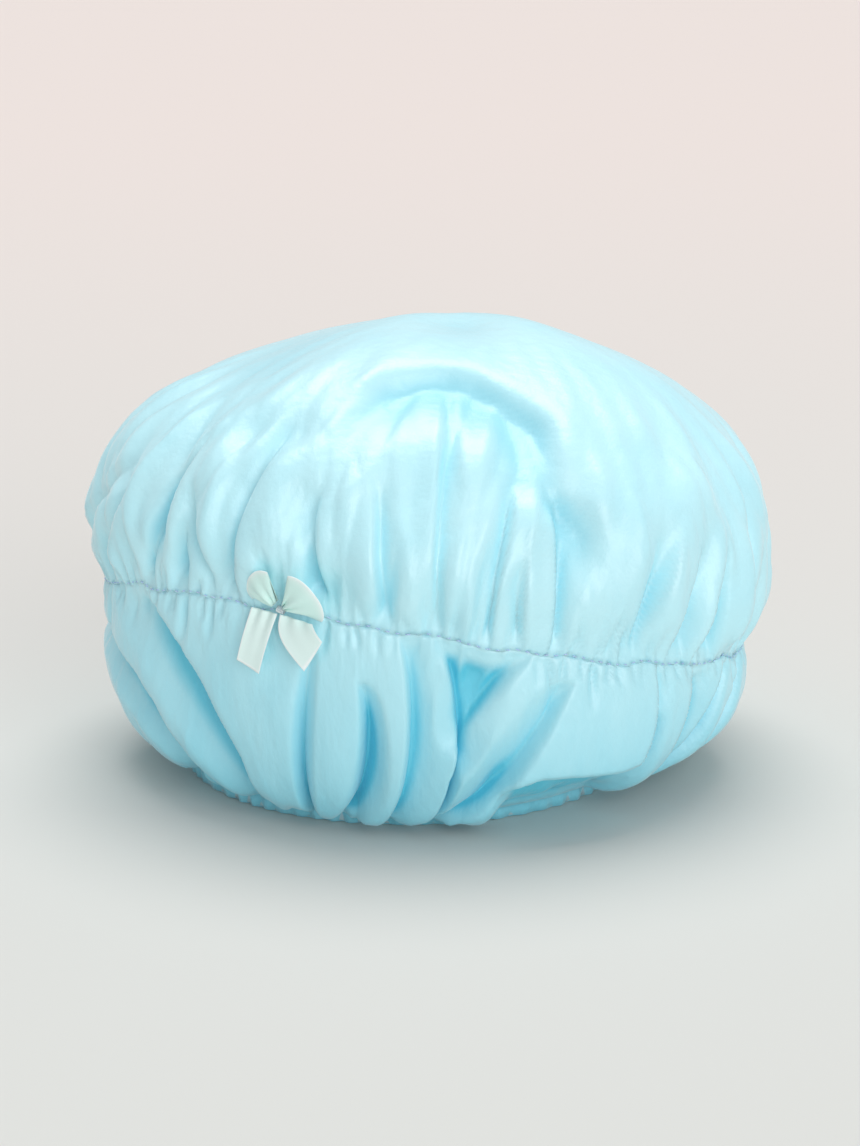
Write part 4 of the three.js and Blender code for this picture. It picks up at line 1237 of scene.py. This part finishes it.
def bow_tail(root_left, root_right, end_left, end_right, sway):
    """A tail between the ends of its root and its cut, pleated under the tie; its left edge sways out."""

    def place_at(across, along):
        share = (across + 1.0) / 2.0
        root = np.array(root_left) + share[:, None] * (np.array(root_right) - np.array(root_left))
        end = np.array(end_left) + share[:, None] * (np.array(end_right) - np.array(end_left))
        flat = root + along[:, None] * (end - root)
        swayed = flat[:, 0] - sway * np.sin(HALF_TURN * along) * (1.0 - share)
        pleat = TAIL_PLEAT_HEIGHT * np.cos(TAIL_PLEATS * across + TAIL_PLEATS_TURN)
        fold = pleat * np.exp(-TAIL_PLEAT_FADE * along)
        curl = TAIL_BELLY * np.sin(HALF_TURN * along) + TAIL_CUP * along * across ** 2
        return in_bow(swayed, TAIL_OUT + fold + curl, flat[:, 1])

    return place_at


def tail_edge(across, along):
    """Painted light on the tails: paler all over, with painted highlights along both long edges, and paler
    still at the cut end.
    """
    edges = np.maximum(smoothstep(np.abs(across), *TAIL_SIDE_EDGE), smoothstep(along, *TAIL_CUT_EDGE))
    return TAIL_PAINTED_LIGHT + (1.0 - TAIL_PAINTED_LIGHT) * edges


TAIL_GRID = (30, 36)
LEFT_TAIL_RIBBON = 20.0
RIGHT_TAIL_RIBBON = 16.0
left_tail = bow_tail((-10.2, -2.4), (-0.6, -1.5), (-10.1, -20.9), (-0.9, -22.7), sway=0.0)
right_tail = bow_tail((0.6, -1.3), (12.6, -0.7), (14.7, -16.3), (18.0, -5.0), sway=4.0)
ribbon_piece("left_tail", "bow_tail_left", LEFT_TAIL_RIBBON, TAIL_GRID, left_tail, tail_edge)
ribbon_piece("right_tail", "bow_tail_right", RIGHT_TAIL_RIBBON, TAIL_GRID, right_tail, tail_edge)


# The tie: a few turns of a paler spun thread, wound round the pinched middle of the ribbon. It keeps the
# loops and the tails together and is sewn down to the seam.
TIE_PALE = srgb(208, 224, 236)
TIE_RADIUS = 1.15
TIE_TURNS = 5
TIE_STEPS = 16
TIE_SIDES = 6
TIE_THREAD = 0.28
shape = bmesh.new()
start = Matrix.Translation((0.0, 0.0, TIE_RADIUS))
bmesh.ops.create_circle(shape, segments=TIE_SIDES, radius=TIE_THREAD, matrix=start)
bmesh.ops.spin(
    shape, geom=shape.verts[:] + shape.edges[:], cent=(0.0, 0.0, 0.0), axis=(1.0, 0.0, 0.0),
    dvec=(2 * TIE_THREAD / TIE_STEPS, 0.0, 0.0), angle=2 * HALF_TURN * TIE_TURNS, steps=TIE_STEPS * TIE_TURNS,
    use_merge=False,
)
wound = np.array([corner.co for corner in shape.verts])
wound[:, 0] -= TIE_THREAD * TIE_TURNS
put_at(shape, in_bow(wound[:, 0], wound[:, 1], wound[:, 2]))
bmesh.ops.recalc_face_normals(shape, faces=shape.faces)
pale_thread = thread.copy()
pale_thread.name = "pale_thread"
pale_tint = pale_thread.node_tree.nodes["thread_tint"]
pale_tint.inputs[6].default_value = TIE_PALE
pale_tint.inputs[7].default_value = RIBBON_PALEST
bow_tie = object_from("bow_tie", shape, pale_thread)
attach(bow_tie, "cap")
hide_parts("bow_tie_thread")


visual_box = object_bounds()
boxes = {"cad": cad_box, "visual": visual_box}
{name: [list(corner) for corner in box] for name, box in boxes.items()}
